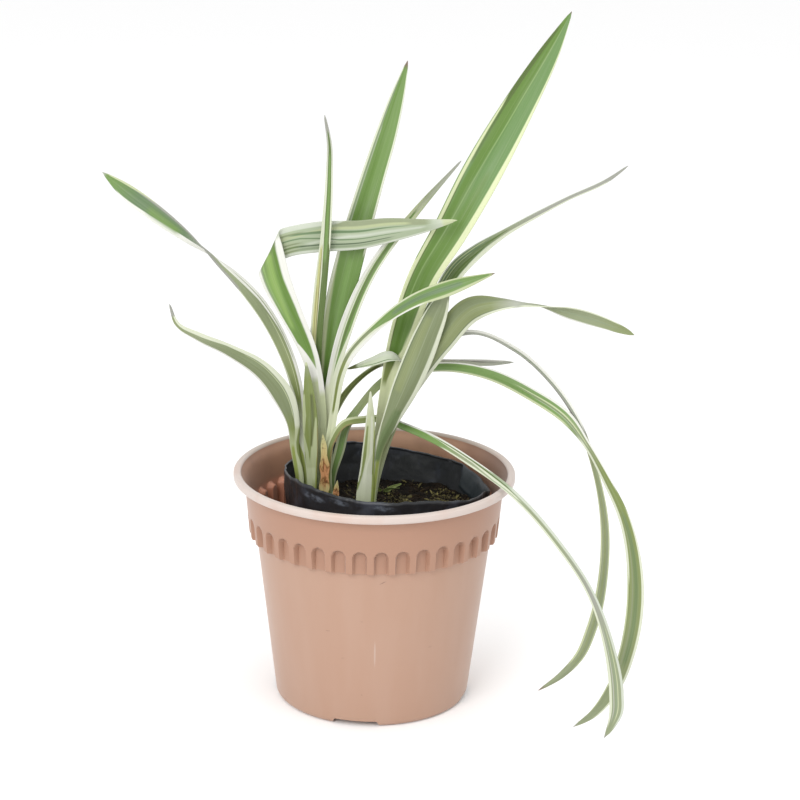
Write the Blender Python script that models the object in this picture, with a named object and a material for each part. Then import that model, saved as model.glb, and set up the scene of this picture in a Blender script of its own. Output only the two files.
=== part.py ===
"""A variegated flax lily in its nursery bag, standing in a round moulded plastic pot.

Everything is in metres with +Z up. The origin is the centre of the pot's flat bottom, X runs to the
right and Y away from the front. Sizes below are in millimetres and are scaled once by MM.

The plant is two fans of strap leaves. Each leaf grew as one blade with its own narrow folded base, so
each is one object. A leaf is a blade carried along a spine: its stations give the spine's place, the
blade's width and its roll, which is how far the upper face has turned from facing the front.
"""
import math

import bmesh
import bpy
import numpy as np

MM = 0.001

# Pot
POT_HEIGHT = 151.0
RIM_RADIUS = 90.0
RIM_INNER_RADIUS = 85.0
LIP_DEPTH = 5.2
LIP_ROUND = 1.7
COLLAR_TOP_RADIUS = 83.0
COLLAR_LOW_RADIUS = 79.7
COLLAR_LOW_Z = 109.0
COLLAR_ROUND = 0.8
BODY_TOP_RADIUS = 75.3
BODY_LOW_RADIUS = 62.7
FOOT_ROUND = 3.6
WALL = 2.0
FLOOR_TOP_Z = 6.5
FLOOR_ROUND = 2.8
BOTTOM_DISC_RADIUS = 26.0
POT_SEGMENTS = 76

# Arched recesses round the collar's lower edge
ARCH_COUNT = 38
ARCH_TURN = math.radians(4.1)
ARCH_WIDTH = 7.8
ARCH_TOP_Z = 124.3
ARCH_FLOOR_RADIUS = 76.9
ARCH_ROUND_STEPS = 6
LEDGE_ABOVE_ARCH = 1.6
LEDGE_SLOPE = 2.0

# Drainage channels under the floor, each with a hole
CHANNEL_COUNT = 4
CHANNEL_TURN = math.radians(-8.9)
CHANNEL_WIDTH = 27.0
CHANNEL_DRAFT = 1.6
CHANNEL_HEIGHT = 3.7
CHANNEL_INNER_RADIUS = 30.0
DRAIN_HOLE_RADIUS = 4.0
DRAIN_HOLE_AT = 44.0
DRAIN_HOLE_STEPS = 12

# How far a cutter reaches past the surface it cuts
OVERCUT = 4.0

# Nursery bag
BAG_CENTRE_X = 8.0
BAG_RIM_RADIUS = 66.0
BAG_FOOT_CENTRE_X = 1.5
BAG_FOOT_RADIUS = 56.0
BAG_FOOT_Z = 7.0
BAG_WALL = 0.8
BAG_SEGMENTS = 54
BAG_ROWS = 9
BAG_CRUMPLE = 1.3
# Folds round the bag: count, phase and share of the crumple
BAG_FOLDS = ((7, 0.6, 0.5), (13, 2.1, 0.3), (23, 4.0, 0.2))
# Height of the bag's rim by the angle from +X, turning towards the back
BAG_RIM = ((0, 138), (12, 136), (25, 137.5), (40, 141.5), (60, 141.5), (75, 142.5), (90, 145), (110, 149),
           (135, 151.5), (152, 150), (165, 148.5), (180, 150.5), (200, 153.5), (212, 155.5), (225, 155),
           (240, 153.3), (256, 152), (280, 152.2), (300, 150.3), (315, 147.2), (330, 144.5), (348, 142))

# Soil
SOIL_Z = 122.5
SOIL_FOOT_Z = 8.2
SOIL_SIDE_TOP_Z = 116.0
SOIL_SIDE_ROWS = 6
SOIL_GAP = 0.4
MOUND_HEIGHT = 9.0
MOUND_AT = (-37.0, 6.0)
MOUND_SPREAD = 19.0
# Lumps of the soil's top: waves per millimetre in x and y, phase and height
SOIL_LUMPS = ((0.31, 0.0, 1.0, 0.7), (0.4, 0.55, 0.0, 0.5))
SOIL_RINGS = 8
SOIL_SEGMENTS = 54
# Holes that stems stand in: centre x, y, half length, half width and floor height
STEM_HOLES = ((-36.0, 4.0, 18.5, 12.5, 111.0), (-4.0, -2.0, 9.5, 11.0, 111.0), (5.3, 33.4, 4.6, 3.4, 117.6))
HOLE_STEPS = 24

# Leaf section
KEEL_THICKNESS = 0.9
EDGE_THICKNESS = 0.7
LEAST_WIDTH = 0.8
FOLD_BASE = math.radians(6.0)
FOLD_MIDDLE = math.radians(15.0)
FOLD_TIP = math.radians(8.0)
FOLD_GROWS_UNTIL = 0.45
FOLD_FADES_OVER = 0.35
BLADE_STEPS = 26

# Stations of every blade: x, y, z, width, roll in degrees
LEAVES = {
    "leaf_left_low": (
        (-48, 0, 112, 6, 180), (-48, 0, 146, 5.2, 180), (-51, 0, 164, 5.5, 180), (-52, -1.5, 181, 8.5, 180),
        (-58, -4, 199, 14, 180), (-70, -7, 216, 12.5, 180), (-92, -14, 232.5, 8, 180),
        (-110, -21, 243, 5.6, 180), (-122.5, -25, 252, 3, 180), (-127, -26, 265, 1, 180)),
    "leaf_left_high": (
        (-45, 3, 112, 6, 180), (-44, 3, 143, 6.4, 180), (-47, 4, 172, 6.6, 180), (-51, 6.5, 206, 8, 180),
        (-62, 10, 235, 9.8, 180), (-75, 12.5, 256, 9.5, 190), (-90, 15, 273, 8, 225),
        (-104, 18, 285, 8.5, 275), (-120, 20, 297, 9.5, 330), (-142, 21.5, 313, 11.5, 355),
        (-161, 23, 327, 8.5, 360), (-173, 25, 336, 1, 360)),
    "leaf_left_short": (
        (-41, -1.6, 112, 6, 0), (-40, -1.6, 145, 6.4, 0), (-40.5, -1.6, 168, 9, 0), (-41.5, -1.6, 190, 9, 0),
        (-42.5, -1.5, 207, 5.5, 0), (-44, -1.2, 222, 1, 0)),
    "leaf_left_thin_upright": (
        (-34, 9, 112, 5, 0), (-37, 9, 147, 4.8, 0), (-38, 10, 206, 7, 0), (-38, 9, 234, 7.8, 0),
        (-35.5, 5, 267, 8, 0), (-32, -1, 304, 6.3, 0), (-30, -4.5, 342, 4.2, 0), (-30, -5.5, 362, 3, 0),
        (-33, -6, 380, 1, 0)),
    "leaf_left_folded_over": (
        (-31, 5.4, 112, 5, 0), (-34, 5.4, 150, 4.8, 0), (-35, 5, 188, 7.7, 0), (-42, 4.2, 225, 10.8, 0),
        (-55, 3.4, 255, 14.9, 0), (-62, 3, 271, 17.8, 0), (-53, 7, 298, 18.8, 0), (-37, 6, 301, 19.4, 0),
        (-10, 2, 304, 17.9, 0), (4, 0, 307, 15.9, 0), (31, -4, 312, 7.6, 0), (49, -6, 316, 1, 0)),
    "leaf_left_tall": (
        (-30, 12, 112, 5, 0), (-32, 12, 146, 5.2, 0), (-31, 13, 200, 13.4, 0), (-24, 14, 256, 18, 0),
        (-16.3, 15, 290, 17.8, 0), (-5, 17.5, 332, 15.6, 0), (5, 20, 366, 12.7, 0), (12, 23, 391, 7.4, 0),
        (17, 25, 409, 1, 0)),
    "leaf_left_cream_edge": (
        (-28, 7.6, 112, 5, 0), (-31, 7.6, 151, 5.1, 0), (-27, 8, 211, 7.6, 0), (-20, 8, 240, 9, 0),
        (-4, 8.5, 279, 7.6, 0), (23, 8, 317, 5, 0), (51, 5, 351, 1, 0)),
    "leaf_left_cross_right": (
        (-27, 1.6, 112, 5, 0), (-30, 1.6, 149, 5.1, 0), (-26, 0, 190, 5.1, 0), (-19, -5, 223, 5.8, -15),
        (-1, -12, 247, 7.2, -45), (24, -20, 268, 9, -35), (45, -26, 278, 9.6, -25), (72, -31, 289, 1, -10)),
    "leaf_left_olive_behind": (
        (-25, 10, 112, 4, 0), (-30, 10, 150, 4, 0), (-26, 10, 186, 5, 20), (-16, 11, 203, 6.5, 45),
        (0, 15, 215.6, 8.5, 60), (20, 21, 217.8, 9, 60), (50, 24, 217, 10, 55), (75, 24, 216.5, 7.5, 45),
        (88, 24, 216.5, 1, 40)),
    "leaf_left_long_arch": (
        (-28, -0.8, 112, 4, 0), (-30, -0.8, 150, 3.4, 0), (-27, -1.6, 170.4, 4, -10), (-20, -0.6, 181, 5, -40),
        (-7, 5, 182.4, 5.6, -55), (6, 12, 180.5, 5.6, -55), (18, 8, 177.4, 5.6, -50), (38, -8, 173.8, 5.4, -40),
        (61, -24, 164.4, 5.2, -35), (86, -44, 152, 4.8, -35), (113, -68, 129, 4.4, -25), (134, -81, 101, 4.4, -15),
        (146, -93, 70, 6.6, -5), (151, -100, 42, 8.7, 0), (151, -103, 32, 8.3, 0), (148, -105, 23, 4.7, 0),
        (144, -107, 16, 1, 0)),
    "leaf_left_droop": (
        (-22, 4, 112, 4, 0), (-27, 4, 142, 4, 0), (-22.5, 4.5, 162.3, 6.4, 0), (-18, 7, 178, 5.4, -15),
        (-11.5, 11.5, 186.6, 5.4, -35), (6, 16, 205.5, 6.3, -50), (41, 15, 215, 7.5, -55), (71, 8, 213, 8.4, -45),
        (97, -3, 204, 8.6, -35), (121, -15, 191, 8.4, -30), (133, -24, 177, 5.6, -45), (144.5, -36, 159, 6.2, -40),
        (156, -46, 137, 7.4, -25), (164, -62, 94, 11.2, -15), (159, -73, 59, 10.7, -10), (152, -81, 41, 9, -5),
        (138, -88, 23, 5, 0), (126, -92, 16, 1, 0)),
    "dried_sheath": (
        (-33, -4.4, 112, 5, 0), (-32, -4.4, 136, 5.6, 0), (-31.6, -4.4, 148, 5.4, 0),
        (-32, -4.3, 160, 4.8, 0), (-32.4, -4.2, 168, 3.8, 0), (-33, -4, 175, 1, 0)),
    "leaf_right_short": (
        (-7, -9.4, 112, 8, 180), (-6, -9.4, 134, 10.8, 180), (-4.3, -9.7, 160, 8.3, 180),
        (-3, -10, 184, 6, 180), (-3, -10, 206, 1, 180)),
    "leaf_right_front": (
        (-3, -7, 112, 6, 180), (-1, -7, 143, 5.4, 180), (3, -7.5, 168, 6.4, 180), (10, -9.5, 187, 11, 180),
        (19, -11, 209, 17.1, 180), (26, -12, 227, 18.6, 180), (32.5, -13, 245, 16.7, 180),
        (38.5, -14, 261, 12.3, 180), (45, -15, 278, 1, 180)),
    "leaf_right_wave": (
        (-3, -4.6, 112, 5, 180), (-1, -4.6, 138, 4.8, 180), (6, -4.8, 174, 8, 180), (20, -5.5, 205, 12.7, 180),
        (41, -7, 238, 15.6, 175), (60, -10.5, 261, 15.6, 160), (76, -16, 266, 10.2, 128), (92, -20, 267, 6.5, 98),
        (119, -25, 263.5, 10.4, 32), (140, -28, 258, 7.8, 12), (154, -29.5, 253, 3.8, 5), (159, -30, 251, 1, 0)),
    "leaf_right_pale_cross": (
        (-3, -2.2, 112, 5, 180), (-1, -2.2, 139, 4.8, 180), (8, -1.6, 180, 6.6, 180), (16, -1, 209, 6.8, 172),
        (17.5, -1.5, 222.5, 6.4, 125), (9, -2.6, 226.8, 7.2, 45), (-2, -2.4, 223.4, 5.4, 10), (-18, 0, 217.4, 1, 0)),
    "leaf_right_thin_droop": (
        (-3, 0.2, 112, 5, 180), (0, 0.2, 138, 4.8, 180), (16, 2, 193.6, 7.5, 180), (36, 3, 229.8, 7, 192),
        (46, 2.8, 238.2, 7.5, 215), (60, 2, 241.7, 7, 230), (87, -1, 232, 7, 230), (109, -5, 214, 5.6, 226),
        (125, -12, 194, 4.3, 212), (139, -21, 160, 3.8, 195), (146, -30, 124, 5.3, 185), (146, -36, 100, 5.7, 180),
        (139, -45, 62, 6.5, 180), (132, -50, 46, 5.9, 180), (121, -53, 34, 4.3, 180), (106, -56, 24, 1, 180)),
    "leaf_right_tallest": (
        (-3, 2.6, 112, 5, 0), (0, 2.6, 143, 5.1, 0), (7, 3.6, 196, 10.2, 0), (17, 5, 242, 16.4, 0),
        (28, 6, 275, 19, 0), (46, 8, 308, 22.8, 0), (63, 11, 341, 24.8, 0), (84, 16, 380, 20.5, 0),
        (105, 21, 418, 11.4, 0), (117, 24, 441, 1, 0)),
    "leaf_right_narrow_high": (
        (-2, 5.4, 112, 4, 0), (0, 5.4, 138, 4.6, 0), (12, 8, 196, 6.6, 0), (26, 11, 233, 8.2, -10),
        (37, 13, 256, 9.7, -20), (53, 17, 281.5, 12, -32), (63, 19, 290, 10.3, -40), (81, 23, 302, 6.2, -55),
        (99, 27, 312, 5, -58), (118, 30, 322, 3.7, -60), (146, 35, 335, 2.8, -50), (157, 37, 343, 1, -45)),
}

# The folded leaf is creased where it turns over: a point on the crease, its direction and its radius
FOLDED_LEAF = "leaf_left_folded_over"
CREASE_POINT = (-66.2, 3.0, 288.2)
CREASE_DIRECTION = (0.42, 0.0, 0.907)
CREASE_RADIUS = 2.0
STATIONS_BEFORE_CREASE = 6
# A creased blade lies flatter than the others: this share of their fold
CREASED_FOLD_SHARE = 0.2

# Weed seedling: each blade's stations
WEED_BLADES = (
    ((4.5, 33.4, 119, 2.2, 0), (3.5, 32.8, 125.5, 3, 0), (-2, 30.6, 129, 1, 0)),
    ((5.1, 33.6, 119, 2.2, 0), (7.3, 32.8, 125.5, 3.2, 0), (16.2, 29.6, 128, 1, 0)),
    ((4.9, 33.8, 119, 2.2, 0), (8.6, 35.4, 124.5, 3, 0), (17.5, 38.6, 128, 1, 0)),
)
WEED_STEPS = 6

# The two fans: each stands under an empty of its own, at the middle of its hole's floor
FAN_ORIGINS = {"left_fan": (-36.0, 4.0, 111.0), "right_fan": (-4.0, -2.0, 111.0)}

# Edges sharper than this are shown as edges
SHARP_ANGLE = math.radians(35.0)

# Colours of each finish: red, green, blue, and roughness
FINISHES = {
    "terracotta_plastic": ((0.62, 0.41, 0.30), 0.5),
    "black_film": ((0.02, 0.022, 0.026), 0.38),
    "potting_soil": ((0.03, 0.022, 0.014), 0.95),
    "leaf_upper_face": ((0.18, 0.36, 0.09), 0.42),
    "leaf_under_face": ((0.27, 0.37, 0.18), 0.48),
    "leaf_pale": ((0.55, 0.62, 0.38), 0.45),
    "dry_sheath": ((0.62, 0.42, 0.2), 0.7),
    "seedling_green": ((0.3, 0.42, 0.1), 0.5),
}
# Finish of each leaf that doesn't show its green upper face
LEAF_FINISHES = {
    "leaf_left_low": "leaf_under_face", "leaf_left_high": "leaf_under_face", "leaf_right_front": "leaf_under_face",
    "leaf_right_wave": "leaf_under_face", "leaf_right_thin_droop": "leaf_under_face",
    "leaf_right_short": "leaf_pale", "leaf_right_pale_cross": "leaf_pale", "dried_sheath": "dry_sheath",
}


def clear_scene():
    """Remove every object that the file opened with."""
    for item in list(bpy.data.objects):
        bpy.data.objects.remove(item, do_unlink=True)


def finish(name):
    """One Principled material for each finish."""
    existing = bpy.data.materials.get(name)
    if existing:
        return existing
    colour, roughness = FINISHES[name]
    material = bpy.data.materials.new(name)
    material.use_nodes = True
    shader = material.node_tree.nodes["Principled BSDF"]
    shader.inputs["Base Color"].default_value = (*colour, 1.0)
    shader.inputs["Roughness"].default_value = roughness
    shader.inputs["Metallic"].default_value = 0.0
    return material


def mesh_object(name, points, faces, finish_name, origin=(0.0, 0.0, 0.0)):
    """Closed object from points and an origin in millimetres, in the named finish, faces outwards."""
    mesh = bpy.data.meshes.new(name)
    mesh.from_pydata(((np.asarray(points, float) - origin) * MM).tolist(), [], faces)
    mesh.validate()
    shape = bmesh.new()
    shape.from_mesh(mesh)
    bmesh.ops.recalc_face_normals(shape, faces=shape.faces)
    shape.to_mesh(mesh)
    shape.free()
    mesh.shade_smooth()
    mesh.set_sharp_from_angle(angle=SHARP_ANGLE)
    item = bpy.data.objects.new(name, mesh)
    item.location = [place * MM for place in origin]
    bpy.context.scene.collection.objects.link(item)
    item.data.materials.append(finish(finish_name))
    return item


def empty_at(name, origin):
    """Empty that pieces are parented to."""
    holder = bpy.data.objects.new(name, None)
    holder.location = [place * MM for place in origin]
    bpy.context.scene.collection.objects.link(holder)
    return holder


def hang_on(holder, item):
    """Parent a piece to an empty, so that it keeps its place in the world."""
    bpy.context.view_layer.update()
    item.parent = holder
    item.matrix_parent_inverse = holder.matrix_world.inverted()


def apply_modifiers(target):
    """Replace the object's mesh by the mesh that its modifiers make."""
    bpy.context.view_layer.update()
    graph = bpy.context.evaluated_depsgraph_get()
    mesh = bpy.data.meshes.new_from_object(target.evaluated_get(graph))
    target.modifiers.clear()
    target.data = mesh


def cut(target, cutter):
    """Boolean difference, applied, with the cutter removed afterwards."""
    cutter.hide_render = True
    cutter.display_type = "WIRE"
    modifier = target.modifiers.new("cut", "BOOLEAN")
    modifier.operation = "DIFFERENCE"
    modifier.solver = "EXACT"
    modifier.object = cutter
    apply_modifiers(target)
    bpy.data.objects.remove(cutter, do_unlink=True)


def prism(first, second):
    """Points and faces of a closed prism between two like outlines."""
    count = len(first)
    points = list(first) + list(second)
    faces = [tuple(range(count)), tuple(reversed(range(count, 2 * count)))]
    for step in range(count):
        after = (step + 1) % count
        faces.append((after, step, count + step, count + after))
    return points, faces


def cutter_of(name, shapes):
    """One cutter object from several closed shapes."""
    points, faces = [], []
    for shape_points, shape_faces in shapes:
        start = len(points)
        points.extend(shape_points)
        faces.extend(tuple(start + index for index in face) for face in shape_faces)
    return mesh_object(name, points, faces, "terracotta_plastic")


def radial_prism(outline, turn, near, far):
    """Prism that runs outwards from the pot's axis: its outline is given across and up."""
    out = np.array((math.sin(turn), -math.cos(turn), 0.0))
    across = np.array((math.cos(turn), math.sin(turn), 0.0))
    up = np.array((0.0, 0.0, 1.0))
    ends = [[out * radius + across * x + up * z for x, z in outline] for radius in (near, far)]
    return prism(ends[0], ends[1])


def upright_prism(outline, low, high):
    """Upright prism over a plan outline."""
    return prism([(x, y, low) for x, y in outline], [(x, y, high) for x, y in outline])


def ring_solid(name, points, rings, segments, finish_name):
    """Closed solid from a first pole, rings of points and a last pole."""
    faces = []
    last = 1 + (rings - 1) * segments
    for step in range(segments):
        after = (step + 1) % segments
        faces.append((0, 1 + after, 1 + step))
        for ring in range(rings - 1):
            low = 1 + ring * segments
            high = low + segments
            faces.append((low + step, low + after, high + after, high + step))
        faces.append((last + step, last + after, len(points) - 1))
    return mesh_object(name, points, faces, finish_name)


def corner(centre_radius, centre_z, radius, start, end, steps):
    """Rounded corner of the pot's half section; its angles are in degrees."""
    angles = np.radians(np.linspace(start, end, steps + 1))
    return [(centre_radius + radius * math.cos(angle), centre_z + radius * math.sin(angle)) for angle in angles]


def pot_profile():
    """Half section of the pot: up the outside from its bottom disc and down the inside."""
    lip_z = POT_HEIGHT - LIP_DEPTH
    ledge_z = ARCH_TOP_Z + LEDGE_ABOVE_ARCH
    lean = (COLLAR_TOP_RADIUS - COLLAR_LOW_RADIUS) / (lip_z - COLLAR_LOW_Z)
    ledge_radius = COLLAR_LOW_RADIUS + lean * (ledge_z - COLLAR_LOW_Z) - WALL
    top_z = POT_HEIGHT - LIP_ROUND
    profile = [(BOTTOM_DISC_RADIUS, 0.0)]
    profile += corner(BODY_LOW_RADIUS - FOOT_ROUND, FOOT_ROUND, FOOT_ROUND, -90, 0, 3)
    profile += [(BODY_TOP_RADIUS, COLLAR_LOW_Z), (COLLAR_LOW_RADIUS - COLLAR_ROUND, COLLAR_LOW_Z),
                (COLLAR_LOW_RADIUS, COLLAR_LOW_Z + COLLAR_ROUND), (COLLAR_TOP_RADIUS, lip_z)]
    profile += corner(RIM_RADIUS - LIP_ROUND, lip_z + LIP_ROUND, LIP_ROUND, -90, 0, 2)
    profile += corner(RIM_RADIUS - LIP_ROUND, top_z, LIP_ROUND, 0, 90, 2)
    profile += corner(RIM_INNER_RADIUS + LIP_ROUND, top_z, LIP_ROUND, 90, 180, 2)
    profile += [(COLLAR_TOP_RADIUS - WALL, lip_z), (ledge_radius, ledge_z + LEDGE_SLOPE),
                (ARCH_FLOOR_RADIUS - WALL, ledge_z), (BODY_TOP_RADIUS - WALL, COLLAR_LOW_Z - WALL)]
    profile += [(BODY_LOW_RADIUS - WALL, FLOOR_TOP_Z + FLOOR_ROUND),
                (BODY_LOW_RADIUS - WALL - FLOOR_ROUND, FLOOR_TOP_Z)]
    return profile


def turned_pot():
    """The pot's body, turned round Z from its half section."""
    profile = pot_profile()
    points = [(0.0, 0.0, 0.0)]
    for radius, z in profile:
        for step in range(POT_SEGMENTS):
            angle = math.tau * step / POT_SEGMENTS
            points.append((radius * math.cos(angle), radius * math.sin(angle), z))
    points.append((0.0, 0.0, FLOOR_TOP_Z))
    return ring_solid("pot", points, len(profile), POT_SEGMENTS, "terracotta_plastic")


def arch_cutters():
    """The ring of arched recesses, open at the collar's lower edge."""
    half = ARCH_WIDTH / 2.0
    low = COLLAR_LOW_Z - OVERCUT
    outline = [(-half, low), (half, low)]
    for step in range(ARCH_ROUND_STEPS + 1):
        angle = math.pi * step / ARCH_ROUND_STEPS
        outline.append((half * math.cos(angle), ARCH_TOP_Z - half + half * math.sin(angle)))
    turns = [ARCH_TURN + math.tau * index / ARCH_COUNT for index in range(ARCH_COUNT)]
    return cutter_of("arch_cutters",
                     [radial_prism(outline, turn, ARCH_FLOOR_RADIUS, RIM_RADIUS + OVERCUT) for turn in turns])


def channel_turns():
    """Angle of each drainage channel."""
    return [CHANNEL_TURN + math.tau * index / CHANNEL_COUNT for index in range(CHANNEL_COUNT)]


def channel_cutters():
    """Drainage channels with sloping sides, open at the foot's edge."""
    high = CHANNEL_WIDTH / 2.0
    low = high + CHANNEL_DRAFT
    outline = [(-low, -OVERCUT), (low, -OVERCUT), (low, 0.0), (high, CHANNEL_HEIGHT), (-high, CHANNEL_HEIGHT),
               (-low, 0.0)]
    return cutter_of("channel_cutters",
                     [radial_prism(outline, turn, CHANNEL_INNER_RADIUS, RIM_RADIUS) for turn in channel_turns()])


def drain_hole_cutters():
    """Round drain holes through the floor, one in each channel."""
    shapes = []
    for turn in channel_turns():
        outline = []
        for step in range(DRAIN_HOLE_STEPS):
            angle = math.tau * step / DRAIN_HOLE_STEPS
            outline.append((math.sin(turn) * DRAIN_HOLE_AT + DRAIN_HOLE_RADIUS * math.cos(angle),
                            -math.cos(turn) * DRAIN_HOLE_AT + DRAIN_HOLE_RADIUS * math.sin(angle)))
        shapes.append(upright_prism(outline, 0.0, FLOOR_TOP_Z + OVERCUT))
    return cutter_of("drain_hole_cutters", shapes)


def build_pot():
    """The moulded pot: turned body, arched recesses, drainage channels and holes."""
    pot = turned_pot()
    cut(pot, arch_cutters())
    cut(pot, channel_cutters())
    cut(pot, drain_hole_cutters())
    return pot


def bag_rim_height(angle):
    """Height of the bag's rim at an angle in radians, read evenly between its given points."""
    angles = [point[0] for point in BAG_RIM] + [360.0 + BAG_RIM[0][0]]
    heights = [point[1] for point in BAG_RIM] + [BAG_RIM[0][1]]
    return float(np.interp(math.degrees(angle) % 360.0, angles, heights))


def bag_place(angle, share, inset):
    """Plan place on the bag's wall at a share of its height; folds deepen towards the rim."""
    folds = sum(part * math.sin(count * angle + phase) for count, phase, part in BAG_FOLDS)
    radius = BAG_FOOT_RADIUS + (BAG_RIM_RADIUS - BAG_FOOT_RADIUS) * share
    radius += BAG_CRUMPLE * share * folds - inset
    centre_x = BAG_FOOT_CENTRE_X + (BAG_CENTRE_X - BAG_FOOT_CENTRE_X) * share
    return centre_x + radius * math.cos(angle), radius * math.sin(angle)


def bag_ring(share, inset):
    """One ring of the bag's wall; the inner wall starts one wall above the foot."""
    foot_z = BAG_FOOT_Z + inset
    ring = []
    for step in range(BAG_SEGMENTS):
        angle = math.tau * step / BAG_SEGMENTS
        ring.append((*bag_place(angle, share, inset), foot_z + (bag_rim_height(angle) - foot_z) * share))
    return ring


def build_bag():
    """The nursery bag: a thin open cup whose inner wall follows its outer wall."""
    shares = [row / (BAG_ROWS - 1) for row in range(BAG_ROWS)]
    rings = [bag_ring(share, 0.0) for share in shares]
    rings += [bag_ring(share, BAG_WALL) for share in reversed(shares)]
    points = [(BAG_FOOT_CENTRE_X, 0.0, BAG_FOOT_Z)]
    for ring in rings:
        points.extend(ring)
    points.append((BAG_FOOT_CENTRE_X, 0.0, BAG_FOOT_Z + BAG_WALL))
    return ring_solid("nursery_bag", points, len(rings), BAG_SEGMENTS, "black_film")


def soil_height(x, y):
    """Height of the soil's top: level, with a mound round the left fan and small lumps."""
    away = ((x - MOUND_AT[0]) ** 2 + (y - MOUND_AT[1]) ** 2) / (2.0 * MOUND_SPREAD ** 2)
    lumps = sum(height * math.sin(wave_x * x + wave_y * y + phase) for wave_x, wave_y, phase, height in SOIL_LUMPS)
    return SOIL_Z + MOUND_HEIGHT * math.exp(-away) + lumps


def soil_ring(z, spread):
    """Plan places where the soil fills the bag at a height, drawn in by the spread for its top."""
    ring = []
    for step in range(SOIL_SEGMENTS):
        angle = math.tau * step / SOIL_SEGMENTS
        share = (z - BAG_FOOT_Z) / (bag_rim_height(angle) - BAG_FOOT_Z)
        x, y = bag_place(angle, share, BAG_WALL + SOIL_GAP)
        ring.append((BAG_CENTRE_X + (x - BAG_CENTRE_X) * spread, y * spread))
    return ring


def stem_hole(centre_x, centre_y, half_length, half_width, floor_z):
    """Cutter for a hole that stems stand in: an upright prism with a rounded oblong outline."""
    outline = []
    for step in range(HOLE_STEPS):
        angle = math.tau * step / HOLE_STEPS
        cosine, sine = math.cos(angle), math.sin(angle)
        outline.append((centre_x + half_length * math.copysign(math.sqrt(abs(cosine)), cosine),
                        centre_y + half_width * math.copysign(math.sqrt(abs(sine)), sine)))
    return cutter_of("stem_hole", [upright_prism(outline, floor_z, POT_HEIGHT)])


def build_soil():
    """Soil that fills the bag, with a plain hole for each fan of leaves and one for the seedling."""
    points = [(BAG_FOOT_CENTRE_X, 0.0, SOIL_FOOT_Z)]
    for z in np.linspace(SOIL_FOOT_Z, SOIL_SIDE_TOP_Z, SOIL_SIDE_ROWS):
        points.extend((x, y, z) for x, y in soil_ring(z, 1.0))
    for row in range(SOIL_RINGS):
        points.extend((x, y, soil_height(x, y)) for x, y in soil_ring(SOIL_Z, 1.0 - row / SOIL_RINGS))
    points.append((BAG_CENTRE_X, 0.0, soil_height(BAG_CENTRE_X, 0.0)))
    soil = ring_solid("soil", points, SOIL_SIDE_ROWS + SOIL_RINGS, SOIL_SEGMENTS, "potting_soil")
    for hole in STEM_HOLES:
        cut(soil, stem_hole(*hole))
    return soil


def smooth_stations(stations, steps):
    """Stations read evenly along a smooth curve through the given ones (Hermite, chord spacing)."""
    rows = np.asarray(stations, float)
    gaps = np.linalg.norm(np.diff(rows[:, :3], axis=0), axis=1)
    places = np.concatenate(([0.0], np.cumsum(gaps)))
    slopes = np.diff(rows, axis=0) / gaps[:, None]
    tangents = np.empty_like(rows)
    tangents[0] = slopes[0]
    tangents[-1] = slopes[-1]
    before, after = gaps[:-1, None], gaps[1:, None]
    tangents[1:-1] = (slopes[:-1] * after + slopes[1:] * before) / (before + after)
    wanted = np.linspace(0.0, places[-1], steps + 1)
    index = np.clip(np.searchsorted(places, wanted, side="right") - 1, 0, len(gaps) - 1)
    gap = gaps[index][:, None]
    t = ((wanted - places[index]) / gaps[index])[:, None]
    start, end = rows[index], rows[index + 1]
    return ((2 * t**3 - 3 * t**2 + 1) * start + (t**3 - 2 * t**2 + t) * gap * tangents[index]
            + (-2 * t**3 + 3 * t**2) * end + (t**3 - t**2) * gap * tangents[index + 1])


def blade_frames(rows):
    """Direction across the blade and its upper face's normal at each station."""
    along = np.gradient(rows[:, :3], axis=0)
    along /= np.linalg.norm(along, axis=1)[:, None]
    front = np.array((0.0, -1.0, 0.0))
    facing = front - along * (along @ front)[:, None]
    facing /= np.linalg.norm(facing, axis=1)[:, None]
    beside = np.cross(along, facing)
    roll = np.radians(rows[:, 4])[:, None]
    normal = np.cos(roll) * facing + np.sin(roll) * beside
    return np.cross(along, normal), normal


def fold_angles(count):
    """Half angle of the blade's V at each station: nearly flat at the base and tip, deeper between."""
    share = np.linspace(0.0, 1.0, count)
    rise = np.clip(share / FOLD_GROWS_UNTIL, 0.0, 1.0)
    fall = np.clip((1.0 - share) / FOLD_FADES_OVER, 0.0, 1.0)
    middle = FOLD_BASE + (FOLD_MIDDLE - FOLD_BASE) * rise
    return FOLD_TIP + (middle - FOLD_TIP) * fall


def blade_points(rows, fold_share=1.0):
    """Six points round the blade at each station: left edge, keel, right edge, above then below."""
    across, normal = blade_frames(rows)
    half = np.maximum(rows[:, 3], LEAST_WIDTH)[:, None] / 2.0
    fold = fold_angles(len(rows))[:, None] * fold_share
    spine = rows[:, :3]
    out = across * half * np.cos(fold)
    up = normal * half * np.sin(fold)
    edge_down = normal * EDGE_THICKNESS
    left, right = spine - out + up, spine + out + up
    rings = (left, spine, right, right - edge_down, spine - normal * KEEL_THICKNESS, left - edge_down)
    return np.stack(rings, axis=1)


def blade_mesh(rings):
    """Points and triangles of a closed blade; both faces are split along the same diagonals."""
    count, sides, _ = rings.shape
    faces = []
    for row in range(count - 1):
        low, high = row * sides, (row + 1) * sides
        for first, second in ((0, 1), (1, 2), (2, 3), (5, 0)):
            faces.append((low + first, low + second, high + second))
            faces.append((low + first, high + second, high + first))
        for first, second in ((3, 4), (4, 5)):
            faces.append((low + first, low + second, high + first))
            faces.append((low + second, high + second, high + first))
    last = (count - 1) * sides
    for start in (0, last):
        faces += [(start + a, start + b, start + c) for a, b, c in ((0, 1, 4), (0, 4, 5), (1, 2, 3), (1, 3, 4))]
    return rings.reshape(-1, 3), faces


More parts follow.
